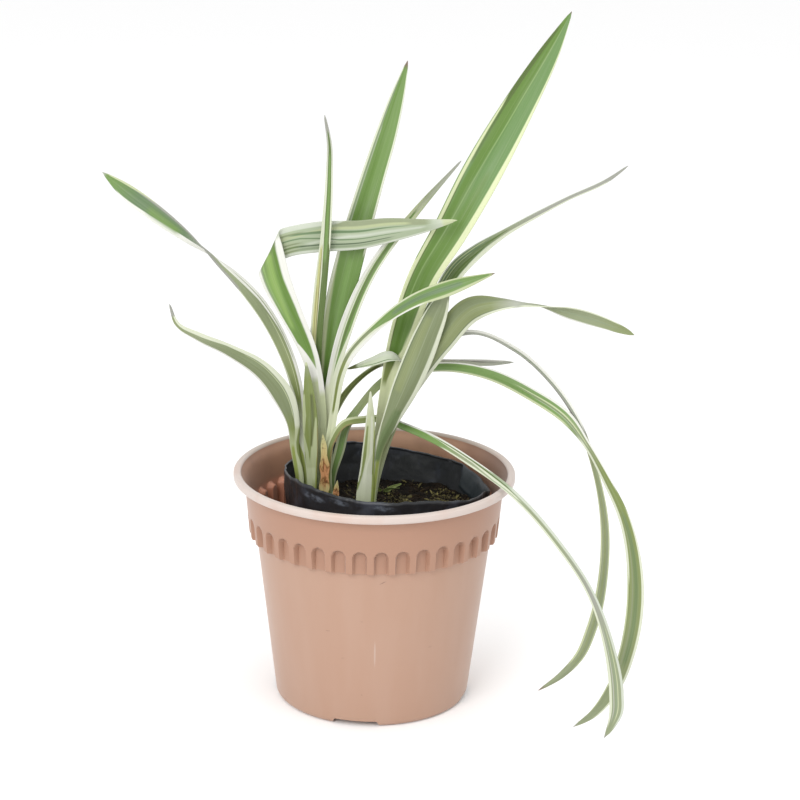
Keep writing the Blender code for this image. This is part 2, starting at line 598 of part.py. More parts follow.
def crease_axes():
    """Crease direction, the direction beyond the crease, and the normal towards the front."""
    crease = np.array(CREASE_DIRECTION)
    crease /= np.linalg.norm(crease)
    front = np.array((0.0, -1.0, 0.0))
    return crease, np.cross(front, crease), front


def unfold(station):
    """Where a station past the crease would lie if the blade weren't folded."""
    crease, beyond, front = crease_axes()
    away = np.asarray(station[:3], float) - CREASE_POINT
    distance = -(away @ beyond) + math.pi * CREASE_RADIUS
    height = -((away @ front) + 2.0 * CREASE_RADIUS)
    place = np.asarray(CREASE_POINT) + crease * (away @ crease) + beyond * distance + front * height
    return (*place, *station[3:])


def fold_back(points):
    """Wrap what lies beyond the crease round a cylinder, and carry the rest on behind."""
    crease, beyond, front = crease_axes()
    away = np.asarray(points) - CREASE_POINT
    along = (away @ crease)[:, None] * crease
    distance = away @ beyond
    turn = np.clip(distance / CREASE_RADIUS, 0.0, math.pi)
    overrun = np.maximum(distance - math.pi * CREASE_RADIUS, 0.0)
    radius = CREASE_RADIUS + away @ front
    ahead = np.where(distance > 0.0, radius * np.sin(turn) - overrun, distance)
    out = radius * np.cos(turn) - CREASE_RADIUS
    return np.asarray(CREASE_POINT) + along + ahead[:, None] * beyond + out[:, None] * front


def build_blade(name, stations, steps, finish_name):
    """One blade along its stations, with its origin at its base."""
    points, faces = blade_mesh(blade_points(smooth_stations(stations, steps)))
    return mesh_object(name, points, faces, finish_name, stations[0][:3])


def build_folded_leaf(name, stations, finish_name):
    """The leaf that is creased and hangs over: swept as if straight, then folded back."""
    straight = list(stations[:STATIONS_BEFORE_CREASE])
    straight += [unfold(station) for station in stations[STATIONS_BEFORE_CREASE:]]
    rows = smooth_stations(straight, 2 * BLADE_STEPS)
    points, faces = blade_mesh(blade_points(rows, CREASED_FOLD_SHARE))
    return mesh_object(name, fold_back(points), faces, finish_name, stations[0][:3])


def build_leaves():
    """Every leaf of both fans and the dried sheath, each under its fan's empty."""
    fans = {name: empty_at(name, origin) for name, origin in FAN_ORIGINS.items()}
    for name, stations in LEAVES.items():
        finish_name = LEAF_FINISHES.get(name, "leaf_upper_face")
        if name == FOLDED_LEAF:
            leaf = build_folded_leaf(name, stations, finish_name)
        else:
            leaf = build_blade(name, stations, BLADE_STEPS, finish_name)
        hang_on(fans["right_fan" if name.startswith("leaf_right") else "left_fan"], leaf)
    return list(fans.values())


def build_weed():
    """The seedling on the soil: small blades grown together at the root."""
    pieces = bpy.data.collections.new("weed_pieces")
    bpy.context.scene.collection.children.link(pieces)
    whole = build_blade("weed_seedling", WEED_BLADES[0], WEED_STEPS, "seedling_green")
    for index, stations in enumerate(WEED_BLADES[1:]):
        blade = build_blade(f"weed_blade_{index}", stations, WEED_STEPS, "seedling_green")
        bpy.context.scene.collection.objects.unlink(blade)
        pieces.objects.link(blade)
    modifier = whole.modifiers.new("join", "BOOLEAN")
    modifier.operation = "UNION"
    modifier.operand_type = "COLLECTION"
    modifier.collection = pieces
    modifier.solver = "EXACT"
    apply_modifiers(whole)
    for blade in list(pieces.objects):
        bpy.data.objects.remove(blade, do_unlink=True)
    bpy.data.collections.remove(pieces)
    return whole


def main():
    """Build every piece of the potted plant and hang it on one empty at the pot's foot."""
    clear_scene()
    whole_plant = empty_at("potted_flax_lily", (0.0, 0.0, 0.0))
    for item in (build_pot(), build_bag(), build_soil(), *build_leaves(), build_weed()):
        hang_on(whole_plant, item)


main()
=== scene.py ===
"""Looks of a variegated flax lily in its black nursery bag, standing in a round moulded plastic pot.

Sizes in this file are in millimetres and are scaled once, by MM, where a mesh is made. +Z is up, the
origin is the middle of the pot's flat bottom, X runs to the right and Y away from the front.
"""
import itertools
import logging
import math
from dataclasses import dataclass, field
from enum import Enum
from typing import Callable, Optional, Sequence, Union

import bpy
import numpy as np
from mathutils import Matrix, Vector


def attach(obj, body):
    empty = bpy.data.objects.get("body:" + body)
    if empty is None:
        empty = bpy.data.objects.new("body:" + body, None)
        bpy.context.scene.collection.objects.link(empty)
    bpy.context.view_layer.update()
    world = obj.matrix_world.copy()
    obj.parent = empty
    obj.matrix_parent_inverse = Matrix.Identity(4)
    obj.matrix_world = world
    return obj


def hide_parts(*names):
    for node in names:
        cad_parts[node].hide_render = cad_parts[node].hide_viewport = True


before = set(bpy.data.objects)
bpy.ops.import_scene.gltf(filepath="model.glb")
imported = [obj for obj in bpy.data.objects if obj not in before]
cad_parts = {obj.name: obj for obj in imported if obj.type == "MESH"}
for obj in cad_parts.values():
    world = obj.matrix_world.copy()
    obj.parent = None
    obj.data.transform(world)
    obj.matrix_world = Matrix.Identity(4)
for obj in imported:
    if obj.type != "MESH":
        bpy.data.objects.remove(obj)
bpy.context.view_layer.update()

LOG = logging.getLogger("potted_flax_lily")
MM = 0.001
BODY = "root"
UV_NAME = "UVMap"
# Zones of the pot's skin, as its mesh carries them
OUTSIDE, ON_LIP, INSIDE = 0.0, 1.0, 2.0
# Share of a colour seen in the studio's light that belongs to the surface itself
SURFACE_SHARE = 0.61
Colour = tuple[float, float, float]
Station = tuple[float, ...]
Span = tuple[float, float]
Point = tuple[float, float, float]
Array = np.ndarray
Item = bpy.types.Object
Material = bpy.types.Material
Edge = tuple[float, float, float]


def srgb(*channels: float) -> Colour:
    """Linear surface colour that is seen as a display colour of 0 to 255: the usual curve, undone."""
    return tuple(SURFACE_SHARE * (share / 12.92 if share <= 0.04045 else ((share + 0.055) / 1.055) ** 2.4)
                 for share in (channel / 255.0 for channel in channels))


class Tone(Enum):
    """Colours that the leaves' stripes are made of."""

    WHITE = srgb(255, 255, 246)
    CREAM = srgb(240, 245, 219)
    MILKY = srgb(222, 229, 211)
    YELLOW_CREAM = srgb(242, 250, 200)
    STRAW = srgb(220, 222, 155)
    PALE = srgb(214, 223, 178)
    SHEATH = srgb(196, 206, 158)
    PALE_SAGE = srgb(180, 194, 162)
    SILVER = srgb(196, 199, 186)
    GREY = srgb(172, 173, 163)
    SAGE = srgb(160, 170, 133)
    GREY_GREEN = srgb(141, 153, 111)
    GREY_OLIVE = srgb(152, 163, 112)
    OLIVE = srgb(139, 153, 84)
    DARK_OLIVE = srgb(98, 108, 52)
    BROWN_OLIVE = srgb(150, 138, 86)
    YELLOW_GREEN = srgb(162, 176, 88)
    SAP_GREEN = srgb(150, 184, 96)
    LIGHT_GREEN = srgb(152, 183, 112)
    FRESH_GREEN = srgb(131, 168, 90)
    MID_GREEN = srgb(121, 156, 80)
    JADE = srgb(117, 155, 88)
    LEAF_GREEN = srgb(113, 150, 67)
    DEEP_GREEN = srgb(105, 143, 54)
    DARK_GREEN = srgb(96, 120, 56)
    DULL_GREEN = srgb(122, 142, 92)
    BLUE_GREEN = srgb(112, 140, 98)
    LINE_GREEN = srgb(150, 166, 134)
    DARK_LINE = srgb(88, 108, 78)
    BROWN = srgb(132, 110, 94)


class Face(Enum):
    """Face that a leaf's stripes are read from, left to right with the tip upwards, and its slot."""

    UPPER = "leaf_upper_face"
    UNDER = "leaf_under_face"


# Shader arithmetic: each operator on a Value adds one Math node


def operator(operation: str, swapped: bool = False) -> Callable[["Value", "Number"], "Value"]:
    """Operator of a Value.

    Args:
        operation: Blender's name of the Math node's operation.
        swapped: put the other number first.

    Returns:
        The operator's method.
    """
    def method(self: "Value", other: "Number") -> "Value":
        """The operation on this value and another."""
        return self.graph.maths(operation, *((other, self) if swapped else (self, other)))

    return method


class Value:
    """A node's output that takes part in arithmetic."""

    def __init__(self, graph: "Graph", socket: bpy.types.NodeSocket) -> None:
        """Hold the socket and the graph that it belongs to."""
        self.graph = graph
        self.socket = socket

    __add__ = operator("ADD")
    __radd__ = operator("ADD", swapped=True)
    __sub__ = operator("SUBTRACT")
    __rsub__ = operator("SUBTRACT", swapped=True)
    __mul__ = operator("MULTIPLY")
    __rmul__ = operator("MULTIPLY", swapped=True)
    __truediv__ = operator("DIVIDE")
    __pow__ = operator("POWER")

    def ease(self, start: float, end: float) -> "Value":
        """Smooth step from 0 at the start to 1 at the end; the start may be the larger."""
        low, high = (0.0, 1.0) if start < end else (1.0, 0.0)
        return self.graph.node("ShaderNodeMapRange", {"interpolation_type": "SMOOTHSTEP"},
                               {"Value": self, "From Min": min(start, end), "From Max": max(start, end),
                                "To Min": low, "To Max": high})


Number = Union[Value, float]


class Graph:
    """One material's nodes, ending in a Principled shader."""

    def __init__(self, name: str) -> None:
        """Start a material with only its output and its Principled shader."""
        self.material = bpy.data.materials.new(name)
        self.material.use_nodes = True
        self.tree = self.material.node_tree
        self.shader = self.tree.nodes["Principled BSDF"]

    def node(self, kind: str, settings: dict, inputs: dict, output: Union[int, str] = 0) -> Value:
        """Add a node.

        Args:
            kind: Blender's name of the node type.
            settings: its properties, set before its sockets; "stops" gives a ramp's places and colours.
            inputs: numbers, colours or values by socket name or index.
            output: name or index of the output that is returned.

        Returns:
            The chosen output.
        """
        made = self.tree.nodes.new(kind)
        for key, setting in settings.items():
            if key == "stops":
                self.set_stops(made.color_ramp, setting)
            else:
                setattr(made, key, setting)
        for key, given in inputs.items():
            if isinstance(given, Value):
                self.tree.links.new(given.socket, made.inputs[key])
            else:
                made.inputs[key].default_value = given
        return Value(self, made.outputs[output])

    @staticmethod
    def set_stops(ramp: bpy.types.ColorRamp, stops: Sequence[tuple[float, Colour]]) -> None:
        """Give a ramp its stops, in rising order."""
        while len(ramp.elements) > 1:
            ramp.elements.remove(ramp.elements[-1])
        for index, (place, colour) in enumerate(stops):
            element = ramp.elements[0] if index == 0 else ramp.elements.new(place)
            element.position = place
            element.color = (*colour, 1.0)

    def maths(self, operation: str, *values: Number) -> Value:
        """Add a Math node with this operation."""
        return self.node("ShaderNodeMath", {"operation": operation}, dict(enumerate(values)))

    def ramp(self, factor: Number, stops: Sequence[tuple[float, Colour]]) -> Value:
        """Colour from a ramp."""
        return self.node("ShaderNodeValToRGB", {"stops": stops}, {"Fac": factor})

    def mix(self, factor: Number, first: Union[Value, Colour], second: Union[Value, Colour]) -> Value:
        """Blend two colours by a factor."""
        pair = [one if isinstance(one, Value) else (*one, 1.0) for one in (first, second)]
        return self.node("ShaderNodeMix", {"data_type": "RGBA"}, {0: factor, 6: pair[0], 7: pair[1]}, 2)

    def vector(self, x: Number, y: Number, z: Number = 0.0) -> Value:
        """Vector from three numbers."""
        return self.node("ShaderNodeCombineXYZ", {}, {0: x, 1: y, 2: z})

    def parts(self, vector: Value) -> tuple[Value, Value, Value]:
        """The three numbers of a vector or colour."""
        first = self.node("ShaderNodeSeparateXYZ", {}, {0: vector})
        return tuple(Value(self, first.socket.node.outputs[index]) for index in range(3))

    def place(self) -> Value:
        """Object coordinates, in metres."""
        return self.node("ShaderNodeTexCoord", {}, {}, "Object")

    def stretched(self, x: float, y: float, z: float) -> Value:
        """Object coordinates, scaled along each axis."""
        return self.node("ShaderNodeMapping", {}, {"Vector": self.place(), "Scale": (x, y, z)})

    def noise(self, vector: Value, scale: float, detail: float = 2.0, roughness: float = 0.5) -> Value:
        """Smooth noise from 0 to 1."""
        inputs = {"Vector": vector, "Scale": scale, "Detail": detail, "Roughness": roughness}
        return self.node("ShaderNodeTexNoise", {}, inputs, "Fac")

    def leaf_place(self) -> tuple[Value, Value]:
        """Places across and along a blade, from 0 to 1."""
        return self.parts(self.node("ShaderNodeUVMap", {"uv_map": UV_NAME}, {}))[:2]

    def attribute(self, name: str) -> Value:
        """A number that the mesh carries."""
        return self.node("ShaderNodeAttribute", {"attribute_name": name}, {}, "Fac")

    def finish(self, colour: Union[Value, Colour], roughness: Number, height: Optional[Value] = None,
               depth_mm: float = 0.1, strength: float = 1.0, **constants: float) -> Material:
        """Feed the Principled shader.

        Args:
            colour: base colour.
            roughness: roughness, which may vary.
            height: height of the bump, from 0 to 1.
            depth_mm: how deep that height is.
            strength: strength of the bump.
            constants: other sockets, by name with underscores for spaces, each one number or colour.

        Returns:
            The finished material.
        """
        for name, given in (("Base Color", colour), ("Roughness", roughness)):
            if isinstance(given, Value):
                self.tree.links.new(given.socket, self.shader.inputs[name])
            else:
                self.shader.inputs[name].default_value = (*given, 1.0) if name == "Base Color" else given
        for name, constant in constants.items():
            self.shader.inputs[name.replace("_", " ")].default_value = constant
        if height is not None:
            bump = self.node("ShaderNodeBump", {}, {"Strength": strength, "Distance": depth_mm * MM,
                                                    "Height": height})
            self.tree.links.new(bump.socket, self.shader.inputs["Normal"])
        return self.material


def total_mask(marks: Sequence["Mark"], x: Value, z: Value) -> Number:
    """How strongly any of the marks shows at a place."""
    total: Number = 0.0
    for mark in marks:
        total = mark.mask(x, z) + total
    return total


@dataclass(frozen=True)
class Mark:
    """A small mark on an upright surface: its place across and up, its half sizes, slope and strength."""

    across: float
    up: float
    half_length: float
    half_height: float
    slope: float
    strength: float

    def mask(self, x: Value, z: Value) -> Value:
        """How strongly the mark shows at a place: a smooth spot inside its ellipse."""
        across = x - self.across * MM
        up = z - self.up * MM - across * self.slope
        reach = (across / (self.half_length * MM)) ** 2.0 + (up / (self.half_height * MM)) ** 2.0
        return reach.ease(1.0, 0.1) * self.strength


# Surfaces on grids


def lattice(cells: Array, seed: int) -> Array:
    """Even values from -1 to 1 for whole-number places: a hash of their three numbers and the seed."""
    mixed = (cells[..., 0] * 374761393 + cells[..., 1] * 668265263 + cells[..., 2] * 1440662683
             + np.int64(seed) * 1274126177)
    mixed = (mixed ^ (mixed >> 13)) * 1274126177
    return ((mixed ^ (mixed >> 16)) & 0xFFFF) / 32767.5 - 1.0


def cloud(points: Array, size: float, seed: int) -> Array:
    """Smooth noise from -1 to 1.

    Formula: the eight lattice values round each point, blended by the smooth step of its place
    between them along each axis.

    Args:
        points: places in millimetres, with three numbers in their last axis.
        size: lattice spacing in millimetres.
        seed: chooses the pattern.

    Returns:
        One value for each place.
    """
    scaled = np.asarray(points, float) / size
    low = np.floor(scaled).astype(np.int64)
    part = scaled - low
    ease = part * part * (3.0 - 2.0 * part)
    total = np.zeros(scaled.shape[:-1])
    for corner in itertools.product((0, 1), repeat=3):
        weight = np.prod(np.where(np.array(corner) == 1, ease, 1.0 - ease), axis=-1)
        total += weight * lattice(low + np.array(corner), seed)
    return total


def smooth_step(values: Array, start: float, end: float) -> Array:
    """Smooth step from 0 at the start to 1 at the end: the share's square times three less twice itself."""
    share = np.clip((values - start) / (end - start), 0.0, 1.0)
    return share * share * (3.0 - 2.0 * share)


class MeshBuilder:
    """Collects grids of points and turns them into one mesh object."""

    def __init__(self) -> None:
        """Start with nothing collected."""
        self.points: list[Array] = []
        self.faces: list[Array] = []
        self.uvs: list[Array] = []
        self.numbers: list[Array] = []
        self.count = 0

    def add_points(self, points: Array, uvs: Optional[Array] = None,
                   numbers: Optional[Array] = None) -> int:
        """Add points and return the index of the first."""
        flat = np.asarray(points, float).reshape(-1, 3)
        start, count = self.count, len(flat)
        self.points.append(flat)
        self.uvs.append(np.asarray(np.zeros((count, 2)) if uvs is None else uvs, float).reshape(-1, 2))
        self.numbers.append(np.asarray(np.zeros(count) if numbers is None else numbers, float).reshape(-1))
        self.count += count
        return start

    def add_faces(self, faces: Array) -> None:
        """Add triangles or quads by point index; a triangle repeats its last point."""
        faces = np.asarray(faces, int)
        if faces.shape[1] == 3:
            faces = np.concatenate((faces, faces[:, 2:3]), axis=1)
        self.faces.append(faces)

    def add_grid(self, points: Array, uvs: Optional[Array] = None,
                 numbers: Optional[Array] = None, wrap: bool = False) -> int:
        """Add a grid of rows and columns, faces wound along a row and then up.

        Args:
            points: array of rows, columns and three numbers.
            uvs: matching array of two numbers for each point.
            numbers: matching array of one number for each point.
            wrap: join the last column to the first.

        Returns:
            Index of the first point.
        """
        rows, columns = points.shape[:2]
        start = self.add_points(points, uvs, numbers)
        index = start + np.arange(rows * columns).reshape(rows, columns)
        if wrap:
            index = np.concatenate((index, index[:, :1]), axis=1)
        quads = joined(index[:-1, :-1], index[:-1, 1:], index[1:, 1:], index[1:, :-1])
        self.add_faces(quads.reshape(-1, 4))
        return start

    def close_ring(self, start: int, columns: int, pole: Sequence[float], upwards: bool,
                   uv: Sequence[float] = (0.5, 0.0), number: float = 0.0) -> None:
        """Close a wrapped row with a fan of triangles to a pole."""
        centre = self.add_points(np.array([pole]), np.array([uv]), np.array([number]))
        ring = start + np.arange(columns)
        after = np.roll(ring, -1)
        self.add_faces(joined(*((ring, after) if upwards else (after, ring)), centre))

    def build(self, name: str, material: Material, number_name: str = "") -> Item:
        """Make the mesh object, in metres, shaded smooth.

        Args:
            name: the object's name.
            material: its material.
            number_name: name of the attribute that holds the points' numbers, if it has one.

        Returns:
            The new object.
        """
        points = np.concatenate(self.points) * MM
        faces = np.concatenate(self.faces)
        lists = [face[:3] if face[3] == face[2] else face for face in faces.tolist()]
        mesh = bpy.data.meshes.new(name)
        mesh.from_pydata(points.tolist(), [], lists)
        corners = np.empty(len(mesh.loops), np.int32)
        mesh.loops.foreach_get("vertex_index", corners)
        layer = mesh.uv_layers.new(name=UV_NAME)
        layer.data.foreach_set("uv", np.concatenate(self.uvs)[corners].astype(np.float32).ravel())
        if number_name:
            kept = mesh.attributes.new(number_name, "FLOAT", "POINT")
            kept.data.foreach_set("value", np.concatenate(self.numbers).astype(np.float32))
        mesh.shade_smooth()
        item = linked(name, mesh)
        item.data.materials.append(material)
        return item


def enlist(item: Item, slot: str, *nodes: str) -> Item:
    """Make a piece ride on the plant and hide the nodes that it stands for."""
    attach(item, BODY)
    if nodes:
        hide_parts(*nodes)
    LOG.info("%s: %d faces", item.name, len(item.data.polygons))
    return item


def linked(name: str, data: bpy.types.ID) -> Item:
    """New object with this data, in the scene."""
    item = bpy.data.objects.new(name, data)
    bpy.context.scene.collection.objects.link(item)
    return item


def joined(*parts: Union[Array, float]) -> Array:
    """Arrays of coordinates, stretched to one shape and joined in a new last axis."""
    return np.stack(np.broadcast_arrays(*parts), axis=-1)


def around(count: int) -> Array:
    """Angles of a whole turn in equal steps, from 0."""
    return math.tau * np.arange(count) / count


def bake_modifiers(item: Item) -> None:
    """Replace the object's mesh by the one that its modifiers make."""
    bpy.context.view_layer.update()
    graph = bpy.context.evaluated_depsgraph_get()
    mesh = bpy.data.meshes.new_from_object(item.evaluated_get(graph))
    item.modifiers.clear()
    item.data = mesh


# Finishes


@dataclass(frozen=True)
class MouldedPlastic:
    """Pinkish terracotta plastic: satin and even, with a pale lip of painted highlight, a few scuffs and a
    dark inside of painted shade.
    """

    body: Colour = srgb(206, 165, 141)
    pale_band: Colour = srgb(210, 172, 150)
    collar: Colour = srgb(197, 151, 126)
    # The lip's pale colour is a painted highlight, pinker in patches and painted darker towards the back as
    # shade
    lip: Colour = srgb(236, 220, 211)
    lip_blush: Colour = srgb(230, 194, 176)
    lip_back_shade: Colour = srgb(196, 180, 165)
    scuff: Colour = srgb(150, 116, 100)
    # Inside, all is painted shade: lighter on the back wall, which faces the light, deeper at the right and
    # in blotches, with painted reddish bounce light low down
    inside: Colour = srgb(196, 145, 114)
    inside_back_lit: Colour = srgb(212, 166, 134)
    inside_right_shade: Colour = srgb(150, 116, 96)
    inside_low_bounce: Colour = srgb(230, 158, 126)
    inside_blotch_shade: Colour = srgb(148, 108, 84)
    collar_low_z: float = 109.0
    scuffs: tuple[Mark, ...] = (
        Mark(6.9, 102.5, 2.8, 0.45, 0.5, 0.8), Mark(-27.1, 66.2, 1.6, 0.35, 0.1, 0.75),
        Mark(-6.0, 75.2, 1.4, 0.8, 0.0, 0.22), Mark(36.8, 53.6, 1.6, 1.0, 0.0, 0.2),
        Mark(-17.6, 48.3, 1.4, 0.8, 0.3, 0.22), Mark(-5.6, 22.9, 0.7, 0.7, 0.0, 0.5))
    streak: Mark = Mark(2.4, 52.5, 0.7, 11.0, 0.0, 0.35)
    # Stretches, in metres, over which one tone gives way to the next: of y, of y, of x, of y, and of the
    # height over the collar's low edge, twice
    front_at: Span = (0.0, -0.02)
    inside_back_at: Span = (0.035, 0.085)
    inside_right_at: Span = (0.045, 0.085)
    lip_back_at: Span = (-0.02, 0.08)
    collar_at: Span = (-0.0008, 0.0006)
    inside_low_at: Span = (0.022, 0.017)

    def build(self) -> Material:
        """Make the material."""
        graph = Graph("terracotta_plastic")
        place = graph.place()
        x, y, z = graph.parts(place)
        bands = graph.noise(graph.stretched(1.0, 1.0, 0.12), 60.0, 3.0)
        colour = graph.mix(bands.ease(0.35, 0.7) * 0.55, self.body, self.pale_band)
        clouds = graph.noise(place, 24.0, 3.0)
        colour = graph.mix(clouds.ease(0.5, 0.75) * 0.25, colour, self.pale_band)
        above = z - self.collar_low_z * MM
        colour = graph.mix(above.ease(*self.collar_at), colour, self.collar)
        front = y.ease(*self.front_at)
        marks = total_mask(self.scuffs, x, z)
        rough_edge = graph.noise(place, 900.0, 2.0).ease(0.25, 0.6)
        colour = graph.mix(marks * rough_edge * front, colour, self.scuff)
        colour = graph.mix(self.streak.mask(x, z) * front, colour, self.lip)
        zone = graph.attribute("zone")
        # Painted shade inside: lighter at the back, deeper at the right and in blotches, with painted reddish
        # bounce light low down
        shade_blotches = graph.noise(place, 60.0, 4.0)
        shade = graph.mix(y.ease(*self.inside_back_at), self.inside, self.inside_back_lit)
        shade = graph.mix(x.ease(*self.inside_right_at), shade, self.inside_right_shade)
        shade = graph.mix(shade_blotches.ease(0.35, 0.8) * 0.4, shade, self.inside_blotch_shade)
        shade = graph.mix(above.ease(*self.inside_low_at), shade, self.inside_low_bounce)
        # Painted highlight on the lip, painted darker towards the back as shade
        blush = graph.mix(graph.noise(place, 40.0, 2.0).ease(0.45, 0.7) * 0.5, self.lip, self.lip_blush)
        blush = graph.mix(y.ease(*self.lip_back_at), blush, self.lip_back_shade)
        colour = graph.mix(zone.ease(ON_LIP - 0.7, ON_LIP - 0.3), colour, blush)
        colour = graph.mix(zone.ease(INSIDE - 0.7, INSIDE - 0.3), colour, shade)
        height = graph.noise(place, 700.0, 2.0) * 0.35 + graph.noise(place, 90.0, 2.0) * 0.65
        rough = graph.noise(place, 45.0, 3.0) * 0.12 + 0.42
        return graph.finish(colour, rough, height, 0.04, 0.4, Specular_IOR_Level=0.4, Sheen_Weight=0.2,
                            Sheen_Roughness=0.4)


@dataclass(frozen=True)
class BlackFilm:
    """Black polythene: creased, painted greyer on the back wall that faces the light, with a bluish cuff and
    painted sheens.
    """

    front: Colour = srgb(40, 42, 46)
    # The back's tone is painted light, where the back wall faces the light
    back: Colour = srgb(60, 62, 64)
    # Painted sheens: a bluish tone in smears, and pale marks near the front rim in the pale dust colour
    sheen: Colour = srgb(82, 88, 102)
    dust_and_sheen: Colour = srgb(160, 172, 188)
    cuff: Colour = srgb(42, 50, 54)
    sheens: tuple[Mark, ...] = (
        Mark(-38.0, 148.4, 9.5, 2.6, -0.2, 0.5), Mark(-21.0, 149.0, 8.0, 2.2, -0.1, 0.4),
        Mark(6.0, 148.2, 10.0, 2.2, -0.06, 0.42), Mark(-50.0, 153.0, 3.0, 1.2, -0.5, 0.4))
    # Stretches of y, in metres, over which the back's painted lighter tone and the painted sheens come in
    back_at: Span = (-0.03, 0.02)
    sheens_at: Span = (-0.035, -0.05)

    def build(self) -> Material:
        """Make the material."""
        graph = Graph("black_film")
        place = graph.place()
        x, y, z = graph.parts(place)
        sheen_smears = graph.noise(place, 55.0, 4.0, 0.6)
        # Painted light: the back wall is lighter where it faces the light
        colour = graph.mix(y.ease(*self.back_at), self.front, self.back)
        colour = graph.mix(sheen_smears.ease(0.5, 0.66) * 0.5, colour, self.sheen)
        # Painted sheens near the front rim, in the pale dust colour
        shine = total_mask(self.sheens, x, z)
        streaky = graph.noise(graph.stretched(1.0, 1.0, 1.6), 210.0, 4.0, 0.65).ease(0.36, 0.68)
        colour = graph.mix(shine * streaky * y.ease(*self.sheens_at), colour, self.dust_and_sheen)
        # Pale spots that are partly dust, which is rougher, and partly painted sheen
        dust_and_sheen = graph.noise(place, 160.0, 4.0, 0.7).ease(0.58, 0.76) * sheen_smears.ease(0.42, 0.62)
        colour = graph.mix(dust_and_sheen * 0.14, colour, self.dust_and_sheen)
        colour = graph.mix(graph.attribute("cuff"), colour, self.cuff)
        creases = graph.node("ShaderNodeTexVoronoi", {"feature": "DISTANCE_TO_EDGE"},
                             {"Vector": place, "Scale": 110.0}, "Distance")
        height = creases.ease(0.0, 0.3) * 0.4 + graph.noise(place, 200.0, 3.0) * 0.6
        return graph.finish(colour, dust_and_sheen * 0.3 + 0.42, height, 0.45, 0.5, Specular_IOR_Level=0.4)


@dataclass(frozen=True)
class PottingSoil:
    """Moist dark potting mix."""

    name: str = "potting_soil"
    dark: Colour = srgb(22, 18, 13)
    brown: Colour = srgb(42, 32, 22)
    fibre: Colour = srgb(80, 66, 42)

    def build(self) -> Material:
        """Make the material."""
        graph = Graph(self.name)
        place = graph.place()
        colour = graph.mix(graph.noise(place, 150.0, 4.0).ease(0.4, 0.7), self.dark, self.brown)
        colour = graph.mix(graph.noise(place, 520.0, 3.0).ease(0.6, 0.72) * 0.6, colour, self.fibre)
        height = graph.noise(place, 800.0, 4.0, 0.65)
        return graph.finish(colour, 0.95, height, 0.6, 0.8, Specular_IOR_Level=0.15)


@dataclass(frozen=True)
class Greenery:
    """Plain small leaves, such as moss and seedlings, with a tint for each that the mesh carries."""

    name: str
    dark: Colour
    light: Colour
    roughness: float = 0.55

    def build(self) -> Material:
        """Make the material."""
        graph = Graph(self.name)
        grain = graph.noise(graph.place(), 500.0, 2.0) - 0.5
        colour = graph.mix(graph.attribute("tint") + grain * 0.6, self.dark, self.light)
        return graph.finish(colour, self.roughness, Specular_IOR_Level=0.3)


@dataclass(frozen=True)
class DryLeaf:
    """Dead papery sheath: straw above, orange brown below, with a brown knot and fine fibres."""

    pale: Colour = srgb(224, 222, 160)
    straw: Colour = srgb(236, 216, 150)
    tan: Colour = srgb(226, 184, 122)
    orange: Colour = srgb(232, 168, 116)
    brown: Colour = srgb(140, 88, 44)
    dark: Colour = srgb(92, 50, 26)

    def build(self) -> Material:
        """Make the material."""
        graph = Graph("dry_sheath")
        across, along = graph.leaf_place()
        place = graph.place()
        fibres = graph.noise(graph.vector(across * 22.0, along * 3.0), 1.0, 3.0)
        torn = along + (graph.noise(graph.vector(across * 3.0, along * 9.0), 1.0, 3.0) - 0.5) * 0.3
        colour = graph.ramp(torn, (
            (0.42, self.straw), (0.48, self.tan), (0.52, self.brown), (0.55, self.orange),
            (0.62, self.orange), (0.66, self.brown), (0.69, self.tan), (0.8, self.straw), (0.96, self.pale)))
        colour = graph.mix(fibres.ease(0.5, 0.7) * 0.5, colour, self.brown)
        colour = graph.mix(fibres.ease(0.45, 0.3) * 0.4, colour, self.straw)
        spots = graph.noise(place, 520.0, 3.0).ease(0.57, 0.68) * 0.6
        colour = graph.mix(spots, colour, self.dark)
        return graph.finish(colour, 0.7, fibres, 0.2, 0.8, Specular_IOR_Level=0.25)


@dataclass(frozen=True)
class Stripe:
    """A lengthwise stripe on a leaf.

    Each edge gives a share of the leaf's length and where the stripe starts and ends across it, from
    the left edge at 0 to the right edge at 1; the stripe fades out before its first and after its last.
    """

    tone: Tone
    edges: tuple[Edge, ...]
    soft: float = 0.035
    fade: float = 0.015
    past_edge: float = 0.4

    def stops(self) -> list[tuple[float, Colour]]:
        """Ramp stops that hold half of each edge's place plus a quarter, and the stripe's strength."""
        rows = []
        for along, left, right in self.edges:
            left = left if left > 0.0 else -self.past_edge
            right = right if right < 1.0 else 1.0 + self.past_edge
            rows.append((along, (left / 2.0 + 0.25, right / 2.0 + 0.25, 1.0)))
        before, after = rows[0][0] - self.fade, rows[-1][0] + self.fade
        if before > 0.0:
            rows.insert(0, (before, (*rows[0][1][:2], 0.0)))
        if after < 1.0:
            rows.append((after, (*rows[-1][1][:2], 0.0)))
        return rows

    def mask(self, graph: Graph, read: Value, along: Value) -> Value:
        """How fully a place lies in the stripe; the place across is read in the stops' own scale."""
        left, right, strength = graph.parts(graph.ramp(along, self.stops()))
        inside = graph.maths("MINIMUM", read - left, right - read)
        return inside.ease(-self.soft / 4.0, self.soft / 4.0) * strength


def stripe(tone: Tone, *edges: Edge, soft: float = 0.035) -> Stripe:
    """A stripe from its tone and its edges."""
    return Stripe(tone, edges, soft)


